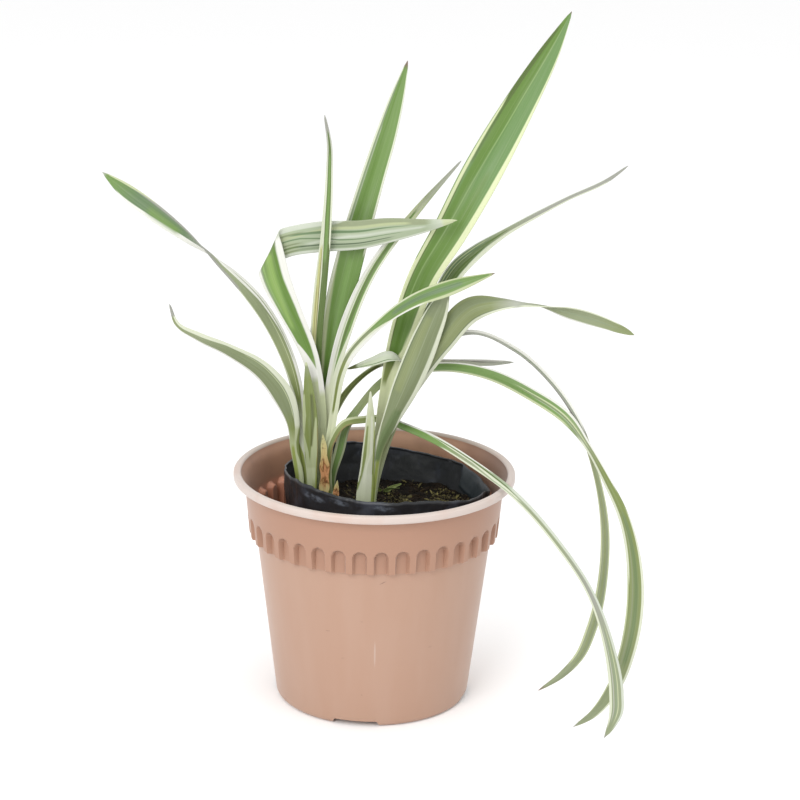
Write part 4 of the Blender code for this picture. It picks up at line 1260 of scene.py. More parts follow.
@dataclass
class Blade:
    """A strap leaf: a shallow V carried along a smooth spine through its stations."""

    name: str
    stations: tuple[Station, ...]
    finish: Union[LeafFinish, DryLeaf, Greenery]
    slot: str = Face.UPPER.value
    crease: Optional[Crease] = None
    rows: int = 150
    columns: int = 22
    keel: float = 0.85
    edge: float = 0.36
    fold_base: float = math.radians(6.0)
    fold_middle: float = math.radians(15.0)
    fold_tip: float = math.radians(8.0)
    fold_grows_until: float = 0.45
    fold_fades_over: float = 0.35
    least_width: float = 0.5
    ripple: float = 0.012
    keel_softness: float = 0.12
    tip_share: float = 0.01
    tip_width: float = 0.04
    full_width: float = 4.0
    thin_share: float = 0.35
    edge_round: float = 0.35

    def spine(self, steps: int) -> Array:
        """Stations read evenly along the leaf.

        Formula: a cubic Hermite curve through the given stations, spaced by the chords between them,
        with each tangent the mean of the slopes on both sides, weighted by the other side's gap.

        Args:
            steps: how many equal steps to take.

        Returns:
            Rows of x, y, z, width and roll.
        """
        given = list(self.stations)
        if self.crease:
            first = self.crease.stations_before
            given = given[:first] + [self.crease.unfold(station) for station in given[first:]]
        rows = np.asarray(given, float)
        gaps = np.linalg.norm(np.diff(rows[:, :3], axis=0), axis=1)
        places = np.concatenate(([0.0], np.cumsum(gaps)))
        slopes = np.diff(rows, axis=0) / gaps[:, None]
        tangents = np.empty_like(rows)
        tangents[0] = slopes[0]
        tangents[-1] = slopes[-1]
        before, after = gaps[:-1, None], gaps[1:, None]
        tangents[1:-1] = (slopes[:-1] * after + slopes[1:] * before) / (before + after)
        wanted = np.linspace(0.0, places[-1], steps + 1)
        index = np.clip(np.searchsorted(places, wanted, side="right") - 1, 0, len(gaps) - 1)
        gap = gaps[index][:, None]
        t = ((wanted - places[index]) / gaps[index])[:, None]
        start, end = rows[index], rows[index + 1]
        return ((2 * t**3 - 3 * t**2 + 1) * start + (t**3 - 2 * t**2 + t) * gap * tangents[index]
                + (-2 * t**3 + 3 * t**2) * end + (t**3 - t**2) * gap * tangents[index + 1])

    @staticmethod
    def frames(rows: Array) -> tuple[Array, Array]:
        """Direction across the blade and its upper face's normal at each row, turned by the roll."""
        along = np.gradient(rows[:, :3], axis=0)
        along /= np.linalg.norm(along, axis=1)[:, None]
        front = np.array((0.0, -1.0, 0.0))
        facing = front - along * (along @ front)[:, None]
        facing /= np.linalg.norm(facing, axis=1)[:, None]
        beside = np.cross(along, facing)
        roll = np.radians(rows[:, 4])[:, None]
        normal = np.cos(roll) * facing + np.sin(roll) * beside
        return np.cross(along, normal), normal

    def folds(self, share: Array) -> Array:
        """Half angle of the V along the leaf: nearly flat at the base and tip, deeper between."""
        rise = np.clip(share / self.fold_grows_until, 0.0, 1.0)
        fall = np.clip((1.0 - share) / self.fold_fades_over, 0.0, 1.0)
        middle = self.fold_base + (self.fold_middle - self.fold_base) * rise
        angle = self.fold_tip + (middle - self.fold_tip) * fall
        return angle * (self.crease.fold_share if self.crease else 1.0)

    def surface(self) -> tuple[Array, Array, Array]:
        """The blade's skin, its stripes' coordinates and which face each point is on.

        Formula: across the blade the half width runs from -1 to 1; the upper face rises from the keel
        as a V with a rounded bottom; the under face lies below it by a thickness that falls from the
        keel to the edges; the edge is a half round between the two.

        Returns:
            Points, coordinates (across and along) and face numbers, as grids that wrap.
        """
        rows = self.spine(self.rows)
        across, normal = self.frames(rows)
        share = np.linspace(0.0, 1.0, len(rows))
        wobble = cloud(joined(share * 9.0, len(self.name), 0.0), 1.0, 17)
        half = np.maximum(rows[:, 3], self.least_width) / 2.0 * (1.0 + self.ripple * wobble)
        blunt = np.clip((1.0 - share) / self.tip_share, 0.0, 1.0)
        half = half * np.sqrt(blunt * (1.0 - self.tip_width) + self.tip_width)
        fold = self.folds(share)
        side = np.linspace(-1.0, 1.0, self.columns)
        softness = self.keel_softness
        vee = (np.sqrt(side**2 + softness**2) - softness) / (math.sqrt(1.0 + softness**2) - softness)
        narrow = np.minimum(half * 2.0 / self.full_width, 1.0)[:, None]
        section = self.edge + (self.keel - self.edge) * (1.0 - np.abs(side)) ** 0.7
        thickness = section[None] * (self.thin_share + (1.0 - self.thin_share) * narrow)
        flat = (half * np.cos(fold))[:, None] * side[None]
        rise = (half * np.sin(fold))[:, None] * vee[None]
        spine = rows[:, None, :3]
        upper = spine + flat[..., None] * across[:, None] + rise[..., None] * normal[:, None]
        under = upper - thickness[..., None] * normal[:, None]
        middle = (upper + under) / 2.0
        round_out = thickness[:, -1:, None] * self.edge_round * across[:, None]
        right = middle[:, -1:] + round_out
        left = middle[:, :1] - round_out
        points = np.concatenate((upper, right, under[:, ::-1], left), axis=1)
        u = (side + 1.0) / 2.0
        us = np.concatenate((u, (1.0,), u[::-1], (0.0,)))
        number = np.concatenate((np.zeros(self.columns), (0.5,), np.ones(self.columns), (0.5,)))
        coordinates = joined(us[None], share[:, None])
        numbers = np.broadcast_to(number[None], coordinates.shape[:2])
        if self.crease:
            points = self.crease.fold(points)
        return points, coordinates, numbers

    def add_to(self, builder: MeshBuilder, tint: Optional[float] = None) -> None:
        """Add the blade's skin to a mesh, closed at both ends."""
        points, coordinates, numbers = self.surface()
        if tint is not None:
            numbers = np.full(numbers.shape, tint)
        start = builder.add_grid(points, coordinates, numbers, wrap=True)
        columns = points.shape[1]
        last = start + (len(points) - 1) * columns
        builder.close_ring(start, columns, points[0].mean(axis=0), upwards=False, uv=(0.5, 0.0))
        builder.close_ring(last, columns, points[-1].mean(axis=0), upwards=True, uv=(0.5, 1.0))

    def build(self) -> Item:
        """Make and dress the leaf."""
        builder = MeshBuilder()
        self.add_to(builder)
        item = builder.build(f"{self.name}_blade", self.finish.build(), "under")
        return enlist(item, self.slot, self.name)


T = Tone


def leaf(name: str, face: Face, base: tuple[tuple[float, Tone], ...], stripes: tuple[Stripe, ...],
         stations: tuple[Station, ...], slot: str = "", **others) -> Blade:
    """A leaf from its colours and stations.

    Args:
        name: the node that it stands for.
        face: the face that its stripes are read from.
        base: its tone at shares of its length.
        stripes: what lies over that tone, in order.
        stations: x, y, z, width and roll along it; a roll left out is 0 for a leaf read from its upper
            face and 180 for one read from its under face.
        slot: the record's material slot, where it isn't the face's own.
        others: other fields of the blade, or of its finish where the finish has them.

    Returns:
        The leaf, ready to build.
    """
    finish_fields = ("tip", "tip_from", "back_tint", "wander", "fibre", "face_shift")
    of_finish = {key: others.pop(key) for key in finish_fields if key in others}
    roll = 0.0 if face is Face.UPPER else 180.0
    whole = tuple((*station, roll)[:5] for station in stations)
    finish = LeafFinish(f"{name}_skin", face, base, stripes, **of_finish)
    return Blade(name, whole, finish, slot or face.value, **others)


# Leaves of the left fan, from the outermost
LEFT_FAN: tuple[Blade, ...] = (
    leaf("leaf_left_low", Face.UNDER,
         ((0.29, T.SHEATH), (0.35, T.OLIVE), (0.42, T.GREY_GREEN), (0.7, T.GREY_GREEN), (0.84, T.SAGE),
          (0.96, T.GREY_OLIVE)),
         (stripe(T.YELLOW_GREEN, (0.15, 0, 0.4), (0.22, 0.05, 0.45), (0.28, 0.15, 0.5), soft=0.15),
          stripe(T.PALE, (0.12, 0.5, 1), (0.3, 0.52, 1), (0.36, 0.62, 1), soft=0.1),
          stripe(T.OLIVE, (0.22, 0.94, 1), (0.26, 0.74, 1), (0.3, 0.72, 1), (0.35, 0.92, 1), soft=0.08),
          stripe(T.CREAM, (0.36, 0.62, 1), (0.5, 0.77, 1), (0.62, 0.82, 1), (0.74, 0.8, 1), (0.85, 0.62, 1),
                 (0.96, 0.55, 1), soft=0.06),
          stripe(T.PALE, (0.4, 0.61, 0.65), (0.5, 0.69, 0.72), (0.66, 0.75, 0.77)),
          stripe(T.LINE_GREEN, (0.4, 0.66, 0.69), (0.5, 0.735, 0.755), (0.65, 0.79, 0.81)),
          stripe(T.WHITE, (0.32, 0, 0.06), (0.6, 0, 0.1), (0.8, 0, 0.12), (0.92, 0, 0.1), soft=0.06)),
         ((-48, 0, 112, 6), (-48, 0, 146, 5.2), (-51, 0, 164, 5.5), (-52, -1.5, 181, 8.5),
          (-58, -4, 199, 14), (-70, -7, 216, 12.5), (-92, -14, 232.5, 8), (-110, -21, 243, 5.6),
          (-122.5, -25, 252, 3), (-127, -26, 265, 1)), tip=T.GREY, tip_from=0.95),
    leaf("leaf_left_high", Face.UNDER,
         ((0.24, T.CREAM), (0.3, T.OLIVE), (0.4, T.GREY_OLIVE), (0.5, T.GREY_GREEN), (0.66, T.SAGE),
          (0.71, T.GREY), (0.77, T.BLUE_GREEN), (0.9, T.BLUE_GREEN), (0.97, T.MID_GREEN)),
         (stripe(T.YELLOW_GREEN, (0.1, 0.1, 0.7), (0.17, 0.05, 0.5), (0.21, 0, 0.1), soft=0.12),
          stripe(T.CREAM, (0.24, 0, 0.5), (0.3, 0, 0.35), (0.34, 0, 0.14), (0.4, 0, 0.06), (0.6, 0, 0.04),
                 soft=0.08),
          stripe(T.WHITE, (0.24, 0.88, 1), (0.28, 0.75, 1), (0.45, 0.8, 1), (0.55, 0.68, 1), (0.6, 0.5, 1),
                 (0.66, 0.34, 1), (0.69, 0.45, 1), (0.72, 0.6, 1), (0.76, 0.66, 1), (0.85, 0.78, 1),
                 (0.94, 0.93, 1), soft=0.06),
          stripe(T.PALE, (0.32, 0.56, 0.6), (0.5, 0.6, 0.63)),
          stripe(T.SAGE, (0.4, 0.86, 0.9), (0.55, 0.8, 0.86), (0.62, 0.7, 0.76)),
          stripe(T.MID_GREEN, (0.79, 0.4, 0.8), (0.86, 0.4, 0.8), soft=0.4),
          stripe(T.GREY, (0.6, 0, 0.14), (0.74, 0, 0.14), (0.92, 0, 0.12), soft=0.12),
          stripe(T.PALE, (0.87, 0, 0.02), (0.93, 0, 0.14), (0.98, 0, 0.18))),
         ((-45, 3, 112, 6), (-44, 3, 143, 6.4), (-47, 4, 172, 6.6), (-51, 6.5, 206, 8), (-62, 10, 235, 9.8),
          (-75, 12.5, 256, 9.5, 190), (-90, 15, 273, 8, 225), (-104, 18, 285, 8.5, 275),
          (-120, 20, 297, 9.5, 330), (-142, 21.5, 313, 11.5, 355), (-161, 23, 327, 8.5, 360),
          (-173, 25, 336, 1, 360)), back_tint=0, tip=T.SILVER),
    leaf("leaf_left_short", Face.UPPER,
         ((0.2, T.YELLOW_GREEN), (0.3, T.PALE), (0.37, T.PALE), (0.43, T.OLIVE), (0.9, T.OLIVE),
          (0.98, T.SAGE)),
         (stripe(T.PALE, (0.22, 0.12, 0.55), (0.36, 0.06, 0.6), soft=0.12),
          stripe(T.SHEATH, (0.37, 0.05, 0.36), (0.42, 0.04, 0.31), (0.46, 0.02, 0.28), (0.52, 0, 0.14),
                 (0.57, 0, 0.04), soft=0.06),
          stripe(T.SHEATH, (0.37, 0.34, 0.96), (0.42, 0.4, 0.96), (0.46, 0.45, 0.96), (0.56, 0.62, 0.94),
                 (0.66, 0.85, 0.95), soft=0.06),
          stripe(T.DARK_OLIVE, (0.5, 0.45, 0.58), (0.65, 0.56, 0.8), (0.8, 0.6, 0.85), soft=0.2),
          stripe(T.SHEATH, (0.58, 0, 0.08), (0.68, 0, 0.24), (0.8, 0, 0.12), soft=0.08),
          stripe(T.YELLOW_GREEN, (0.22, 0.85, 1), (0.42, 0.9, 1), soft=0.08),
          stripe(T.BROWN_OLIVE, (0.34, 0.95, 1), (0.6, 0.96, 1))),
         ((-41, -1.6, 112, 6), (-40, -1.6, 145, 6.4), (-40.5, -1.6, 168, 9), (-41.5, -1.6, 190, 9),
          (-42.5, -1.5, 207, 5.5), (-44, -1.2, 222, 1)), tip=T.PALE, tip_from=0.97),
    leaf("leaf_left_thin_upright", Face.UPPER,
         ((0.15, T.PALE), (0.35, T.CREAM), (0.85, T.CREAM), (0.96, T.SILVER)),
         (stripe(T.STRAW, (0.4, 0.1, 0.5), (0.5, 0.12, 0.48), (0.6, 0.14, 0.42), (0.68, 0.1, 0.3)),
          stripe(T.BROWN_OLIVE, (0.4, 0.28, 0.34), (0.5, 0.25, 0.3), (0.58, 0.2, 0.24)),
          stripe(T.BROWN_OLIVE, (0.46, 0.43, 0.5), (0.54, 0.38, 0.45), (0.6, 0.34, 0.4), (0.68, 0.26, 0.3)),
          stripe(T.DARK_GREEN, (0.38, 0.5, 1), (0.54, 0.5, 1), (0.62, 0.5, 1), (0.7, 0.36, 0.86),
                 (0.76, 0.28, 0.82), (0.9, 0.24, 0.78), (0.96, 0.35, 0.7)),
          stripe(T.MID_GREEN, (0.66, 0.45, 0.75), (0.76, 0.36, 0.7), (0.9, 0.34, 0.66), soft=0.12)),
         ((-34, 9, 112, 5), (-37, 9, 147, 4.8), (-38, 10, 206, 7), (-38, 9, 234, 7.8), (-35.5, 5, 267, 8),
          (-32, -1, 304, 6.3), (-30, -4.5, 342, 4.2), (-30, -5.5, 362, 3), (-33, -6, 380, 1)), tip=T.GREY,
         tip_from=0.955),
    leaf("leaf_left_folded_over", Face.UPPER,
         ((0.28, T.PALE), (0.34, T.LEAF_GREEN), (0.44, T.LEAF_GREEN), (0.52, T.FRESH_GREEN),
          (0.57, T.DULL_GREEN), (0.605, T.DULL_GREEN), (0.61, T.SHEATH), (0.7, T.PALE_SAGE),
          (0.96, T.PALE_SAGE), (1, T.MILKY)),
         (stripe(T.WHITE, (0.3, 0, 0.8), (0.34, 0, 0.45), (0.38, 0, 0.13), (0.45, 0, 0.09), (0.59, 0, 0.1),
                 soft=0.06),
          stripe(T.LINE_GREEN, (0.49, 0.1, 0.14), (0.59, 0.11, 0.15)),
          stripe(T.SAP_GREEN, (0.42, 0.2, 0.36), (0.5, 0.26, 0.5), (0.57, 0.34, 0.6), soft=0.2),
          stripe(T.LIGHT_GREEN, (0.46, 0.16, 0.2), (0.57, 0.18, 0.24), soft=0.05),
          stripe(T.DEEP_GREEN, (0.36, 0.45, 0.72), (0.43, 0.48, 0.76), (0.5, 0.56, 0.76), (0.58, 0.6, 0.76),
                 soft=0.16),
          stripe(T.WHITE, (0.27, 0.6, 1), (0.33, 0.72, 1), (0.38, 0.75, 1), (0.45, 0.79, 1),
                 (0.52, 0.76, 1), (0.58, 0.76, 1), (0.6, 0.82, 1), soft=0.08),
          stripe(T.MILKY, (0.615, 0.86, 1), (0.66, 0.83, 1), (0.74, 0.85, 1), (0.82, 0.93, 1), soft=0.05),
          stripe(T.SAGE, (0.78, 0.74, 0.92), (0.86, 0.78, 1), (0.96, 0.6, 1), soft=0.08),
          stripe(T.MILKY, (0.615, 0, 0.1), (0.7, 0, 0.1), (0.85, 0, 0.06), (0.96, 0, 0.1)),
          stripe(T.GREY_GREEN, (0.62, 0.13, 0.18), (0.69, 0.13, 0.18), soft=0.04),
          stripe(T.DULL_GREEN, (0.62, 0.25, 0.32), (0.69, 0.25, 0.31), soft=0.04),
          stripe(T.GREY_GREEN, (0.62, 0.37, 0.42), (0.69, 0.37, 0.41), soft=0.04),
          stripe(T.GREY_GREEN, (0.62, 0.7, 0.76), (0.7, 0.7, 0.75), soft=0.04),
          stripe(T.LINE_GREEN, (0.7, 0.12, 0.2), (0.78, 0.11, 0.18), (0.88, 0.12, 0.16), soft=0.06),
          stripe(T.DARK_LINE, (0.7, 0.24, 0.29), (0.78, 0.2, 0.25), (0.88, 0.2, 0.23)),
          stripe(T.MILKY, (0.72, 0.3, 0.36), (0.8, 0.42, 0.52), (0.95, 0.4, 0.5), soft=0.14),
          stripe(T.BLUE_GREEN, (0.615, 0.52, 0.56), (0.7, 0.52, 0.56), (0.78, 0.36, 0.4),
                 (0.9, 0.34, 0.36)),
          stripe(T.SHEATH, (0.615, 0.61, 0.67), (0.7, 0.61, 0.67), (0.76, 0.72, 0.8), (0.92, 0.7, 0.82),
                 soft=0.08),
          stripe(T.BLUE_GREEN, (0.69, 0.66, 0.72), (0.76, 0.6, 0.7), (0.84, 0.6, 0.66),
                 (0.92, 0.62, 0.64))),
         ((-31, 5.4, 112, 5), (-34, 5.4, 150, 4.8), (-35, 5, 188, 7.7), (-42, 4.2, 225, 10.8),
          (-55, 3.4, 255, 14.9), (-62, 3, 271, 17.8), (-53, 7, 298, 18.8), (-37, 6, 301, 19.4),
          (-10, 2, 304, 17.9), (4, 0, 307, 15.9), (31, -4, 312, 7.6), (49, -6, 316, 1)), crease=Crease(),
         rows=300, tip=T.PALE, tip_from=0.99, back_tint=0, wander=0.02, fibre=0.16, face_shift=0.05),
    leaf("leaf_left_tall", Face.UPPER,
         ((0.23, T.PALE), (0.28, T.DEEP_GREEN), (0.42, T.DEEP_GREEN), (0.52, T.LEAF_GREEN),
          (0.6, T.MID_GREEN)),
         # The pale stripe down the left of the lower blade is a painted sheen, where that half of the fold
         # faces the sky
         (stripe(T.SHEATH, (0.26, 0, 0.28), (0.4, 0, 0.24), (0.5, 0, 0.17), (0.57, 0, 0.1), soft=0.1),
          stripe(T.CREAM, (0.44, 0, 0.06), (0.52, 0, 0.1), (0.64, 0, 0.08), (0.9, 0, 0.08), (0.98, 0, 0.1),
                 soft=0.05),
          stripe(T.FRESH_GREEN, (0.34, 0.5, 0.68), (0.5, 0.46, 0.64), (0.57, 0.44, 0.6), soft=0.3),
          stripe(T.LEAF_GREEN, (0.6, 0.28, 0.5), (0.8, 0.3, 0.5), (0.96, 0.35, 0.5), soft=0.16),
          stripe(T.LINE_GREEN, (0.6, 0.09, 0.13), (0.8, 0.1, 0.14), (0.97, 0.1, 0.2)),
          stripe(T.PALE_SAGE, (0.62, 0.14, 0.18), (0.85, 0.15, 0.2)),
          stripe(T.CREAM, (0.6, 0.93, 1), (0.8, 0.92, 1), (0.97, 0.93, 1))),
         ((-30, 12, 112, 5), (-32, 12, 146, 5.2), (-31, 13, 200, 13.4), (-24, 14, 256, 18),
          (-16.3, 15, 290, 17.8), (-5, 17.5, 332, 15.6), (5, 20, 366, 12.7), (12, 23, 391, 7.4),
          (17, 25, 409, 1)), tip_from=0.98, fibre=0.14),
    leaf("leaf_left_cream_edge", Face.UPPER,
         ((0.1, T.PALE), (0.2, T.YELLOW_CREAM), (0.4, T.CREAM), (0.72, T.CREAM), (0.82, T.PALE),
          (0.88, T.SAGE), (1, T.GREY)),
         (stripe(T.MID_GREEN, (0.39, 0.5, 0.53), (0.45, 0.5, 0.74), (0.5, 0.46, 0.86), (0.6, 0.45, 0.84),
                 (0.7, 0.4, 0.86), (0.78, 0.36, 0.7), (0.83, 0.34, 0.56), soft=0.05),
          stripe(T.DARK_GREEN, (0.45, 0.54, 0.66), (0.6, 0.52, 0.72), (0.72, 0.48, 0.7), soft=0.14),
          stripe(T.LINE_GREEN, (0.42, 0.35, 0.38), (0.6, 0.33, 0.36), (0.76, 0.3, 0.33)),
          stripe(T.WHITE, (0.36, 0, 0.3), (0.6, 0, 0.25), (0.78, 0, 0.2), soft=0.12),
          stripe(T.GREY, (0.84, 0.3, 0.36), (0.97, 0.4, 0.5)),
          stripe(T.GREY, (0.84, 0.6, 0.66), (0.95, 0.62, 0.7))),
         ((-28, 7.6, 112, 5), (-31, 7.6, 151, 5.1), (-27, 8, 211, 7.6), (-20, 8, 240, 9),
          (-4, 8.5, 279, 7.6), (23, 8, 317, 5), (51, 5, 351, 1)), tip=T.GREY),
    leaf("leaf_left_cross_right", Face.UPPER,
         ((0.1, T.PALE), (0.2, T.YELLOW_CREAM), (0.45, T.CREAM), (0.66, T.CREAM), (0.82, T.PALE),
          (1, T.SHEATH)),
         (stripe(T.OLIVE, (0.34, 0.22, 0.5), (0.4, 0.2, 0.55), (0.47, 0.2, 0.6), (0.51, 0.15, 0.5),
                 soft=0.08),
          stripe(T.GREY_GREEN, (0.5, 0.15, 0.45), (0.58, 0.15, 0.45), (0.65, 0.18, 0.52), soft=0.06),
          stripe(T.MID_GREEN, (0.62, 0.18, 0.5), (0.68, 0.12, 0.86), (0.8, 0.1, 0.86), (0.88, 0.08, 0.8),
                 (0.98, 0.1, 0.7), soft=0.08),
          stripe(T.BLUE_GREEN, (0.7, 0.3, 0.6), (0.9, 0.3, 0.6), soft=0.25),
          stripe(T.WHITE, (0.5, 0.6, 1), (0.6, 0.68, 1), (0.66, 0.89, 1), (0.78, 0.92, 1), soft=0.08)),
         ((-27, 1.6, 112, 5), (-30, 1.6, 149, 5.1), (-26, 0, 190, 5.1), (-19, -5, 223, 5.8, -15),
          (-1, -12, 247, 7.2, -45), (24, -20, 268, 9, -35), (45, -26, 278, 9.6, -25),
          (72, -31, 289, 1, -10)), tip_from=0.985),
    leaf("leaf_left_olive_behind", Face.UPPER,
         ((0.56, T.PALE), (0.62, T.WHITE), (0.8, T.CREAM), (1, T.SILVER)),
         (stripe(T.OLIVE, (0.34, 0.1, 0.9), (0.45, 0.12, 0.9), (0.57, 0.14, 0.92), soft=0.14),
          stripe(T.DARK_OLIVE, (0.36, 0.68, 0.88), (0.47, 0.72, 0.9), (0.57, 0.7, 0.9), soft=0.16),
          stripe(T.WHITE, (0.6, 0, 0.4), (0.8, 0, 0.4), (0.96, 0, 0.3), soft=0.12),
          stripe(T.GREY, (0.84, 0.45, 0.5), (0.9, 0.4, 0.62), (0.96, 0.48, 0.52), soft=0.06)),
         ((-25, 10, 112, 4), (-30, 10, 150, 4), (-26, 10, 186, 5, 20), (-16, 11, 203, 6.5, 45),
          (0, 15, 215.6, 8.5, 60), (20, 21, 217.8, 9, 60), (50, 24, 217, 10, 55), (75, 24, 216.5, 7.5, 45),
          (88, 24, 216.5, 1, 40)), tip=T.SILVER),
    leaf("leaf_left_long_arch", Face.UPPER,
         ((0.1, T.YELLOW_GREEN), (0.15, T.OLIVE), (0.24, T.OLIVE), (0.3, T.FRESH_GREEN),
          (0.38, T.FRESH_GREEN), (0.43, T.SAGE), (0.52, T.PALE_SAGE), (0.6, T.SAGE), (0.66, T.SAGE),
          (0.76, T.GREY), (0.86, T.SAGE)),
         (stripe(T.PALE, (0.14, 0, 0.25), (0.2, 0, 0.3), (0.26, 0, 0.2), soft=0.08),
          stripe(T.BROWN_OLIVE, (0.1, 0.7, 1), (0.16, 0.75, 1), (0.2, 0.85, 1), soft=0.1),
          stripe(T.WHITE, (0.28, 0, 0.18), (0.36, 0, 0.2), (0.42, 0, 0.14), (0.48, 0, 0.1)),
          stripe(T.CREAM, (0.36, 0.22, 0.26), (0.4, 0.31, 0.42), (0.45, 0.31, 0.44), (0.5, 0.44, 0.75),
                 (0.55, 0.5, 0.7), soft=0.05),
          stripe(T.DARK_GREEN, (0.38, 0.24, 0.3), (0.45, 0.15, 0.29), (0.5, 0.25, 0.42), (0.54, 0.3, 0.42)),
          stripe(T.CREAM, (0.4, 0.84, 1), (0.46, 0.76, 1), (0.5, 0.94, 1), (0.55, 0.82, 1), (0.62, 0.76, 1),
                 (0.7, 0.78, 1), (0.78, 0.8, 1), (0.9, 0.82, 1), (0.97, 0.85, 1), soft=0.06),
          stripe(T.MILKY, (0.54, 0, 0.34), (0.62, 0, 0.34), (0.7, 0, 0.3), (0.78, 0, 0.24), (0.88, 0, 0.18),
                 (0.97, 0, 0.15), soft=0.06),
          stripe(T.PALE, (0.82, 0.36, 0.4), (0.96, 0.36, 0.42)),
          stripe(T.LINE_GREEN, (0.82, 0.5, 0.56), (0.96, 0.5, 0.58)),
          stripe(T.SILVER, (0.82, 0.66, 0.72), (0.96, 0.66, 0.74))),
         ((-28, -0.8, 112, 4), (-30, -0.8, 150, 3.4), (-27, -1.6, 170.4, 4, -10), (-20, -0.6, 181, 5, -40),
          (-7, 5, 182.4, 5.6, -55), (6, 12, 180.5, 5.6, -55), (18, 8, 177.4, 5.6, -50),
          (38, -8, 173.8, 5.4, -40), (61, -24, 164.4, 5.2, -35), (86, -44, 152, 4.8, -35),
          (113, -68, 129, 4.4, -25), (134, -81, 101, 4.4, -15), (146, -93, 70, 6.6, -5),
          (151, -100, 42, 8.7), (151, -103, 32, 8.3), (148, -105, 23, 4.7), (144, -107, 16, 1)), rows=240,
         tip=T.GREY, tip_from=0.99),
    leaf("leaf_left_droop", Face.UPPER,
         ((0.03, T.DARK_GREEN), (0.12, T.LEAF_GREEN), (0.2, T.GREY_OLIVE), (0.3, T.FRESH_GREEN),
          (0.42, T.MID_GREEN), (0.5, T.FRESH_GREEN), (0.56, T.SAGE), (0.61, T.OLIVE), (0.7, T.OLIVE),
          (0.88, T.GREY_OLIVE), (0.97, T.SAGE)),
         (stripe(T.PALE, (0.04, 0, 0.22), (0.1, 0, 0.26), (0.14, 0, 0.2), soft=0.1),
          stripe(T.SAGE, (0.04, 0.8, 1), (0.1, 0.78, 1), (0.17, 0.84, 1), soft=0.1),
          stripe(T.WHITE, (0.26, 0, 0.14), (0.45, 0, 0.1), (0.5, 0, 0.16), (0.56, 0, 0.2), (0.63, 0, 0.1)),
          stripe(T.MID_GREEN, (0.28, 0.18, 0.4), (0.38, 0.2, 0.4), (0.5, 0.18, 0.34), soft=0.1),
          stripe(T.PALE, (0.3, 0.84, 1), (0.45, 0.82, 1), (0.52, 0.85, 1), soft=0.06),
          # A painted highlight along the middle of the blade where it arches over
          stripe(T.PALE, (0.44, 0.36, 0.4), (0.49, 0.35, 0.45), (0.56, 0.4, 0.52)),
          stripe(T.GREY_GREEN, (0.45, 0.46, 0.53), (0.56, 0.5, 0.58)),
          stripe(T.PALE_SAGE, (0.47, 0.56, 0.62), (0.56, 0.6, 0.7)),
          stripe(T.CREAM, (0.56, 0.72, 1), (0.62, 0.72, 1), (0.7, 0.8, 1), (0.76, 0.86, 1), soft=0.06),
          stripe(T.CREAM, (0.68, 0, 0.08), (0.75, 0, 0.13), (0.88, 0, 0.14), (0.96, 0, 0.12)),
          stripe(T.DULL_GREEN, (0.68, 0.3, 0.58), (0.88, 0.32, 0.6), soft=0.2),
          stripe(T.SAGE, (0.7, 0.62, 0.7), (0.9, 0.62, 0.7), soft=0.12),
          stripe(T.PALE, (0.76, 0.93, 1), (0.88, 0.92, 1), (0.96, 0.94, 1))),
         ((-22, 4, 112, 4), (-27, 4, 142, 4), (-22.5, 4.5, 162.3, 6.4), (-18, 7, 178, 5.4, -15),
          (-11.5, 11.5, 186.6, 5.4, -35), (6, 16, 205.5, 6.3, -50), (41, 15, 215, 7.5, -55),
          (71, 8, 213, 8.4, -45), (97, -3, 204, 8.6, -35), (121, -15, 191, 8.4, -30),
          (133, -24, 177, 5.6, -45), (144.5, -36, 159, 6.2, -40), (156, -46, 137, 7.4, -25),
          (163.5, -62, 94, 11.2, -15), (159, -73, 59, 10.7, -10), (152, -81, 41, 9, -5), (138, -88, 23, 5),
          (126, -92, 16, 1)), rows=260, tip=T.GREY, tip_from=0.99),
)


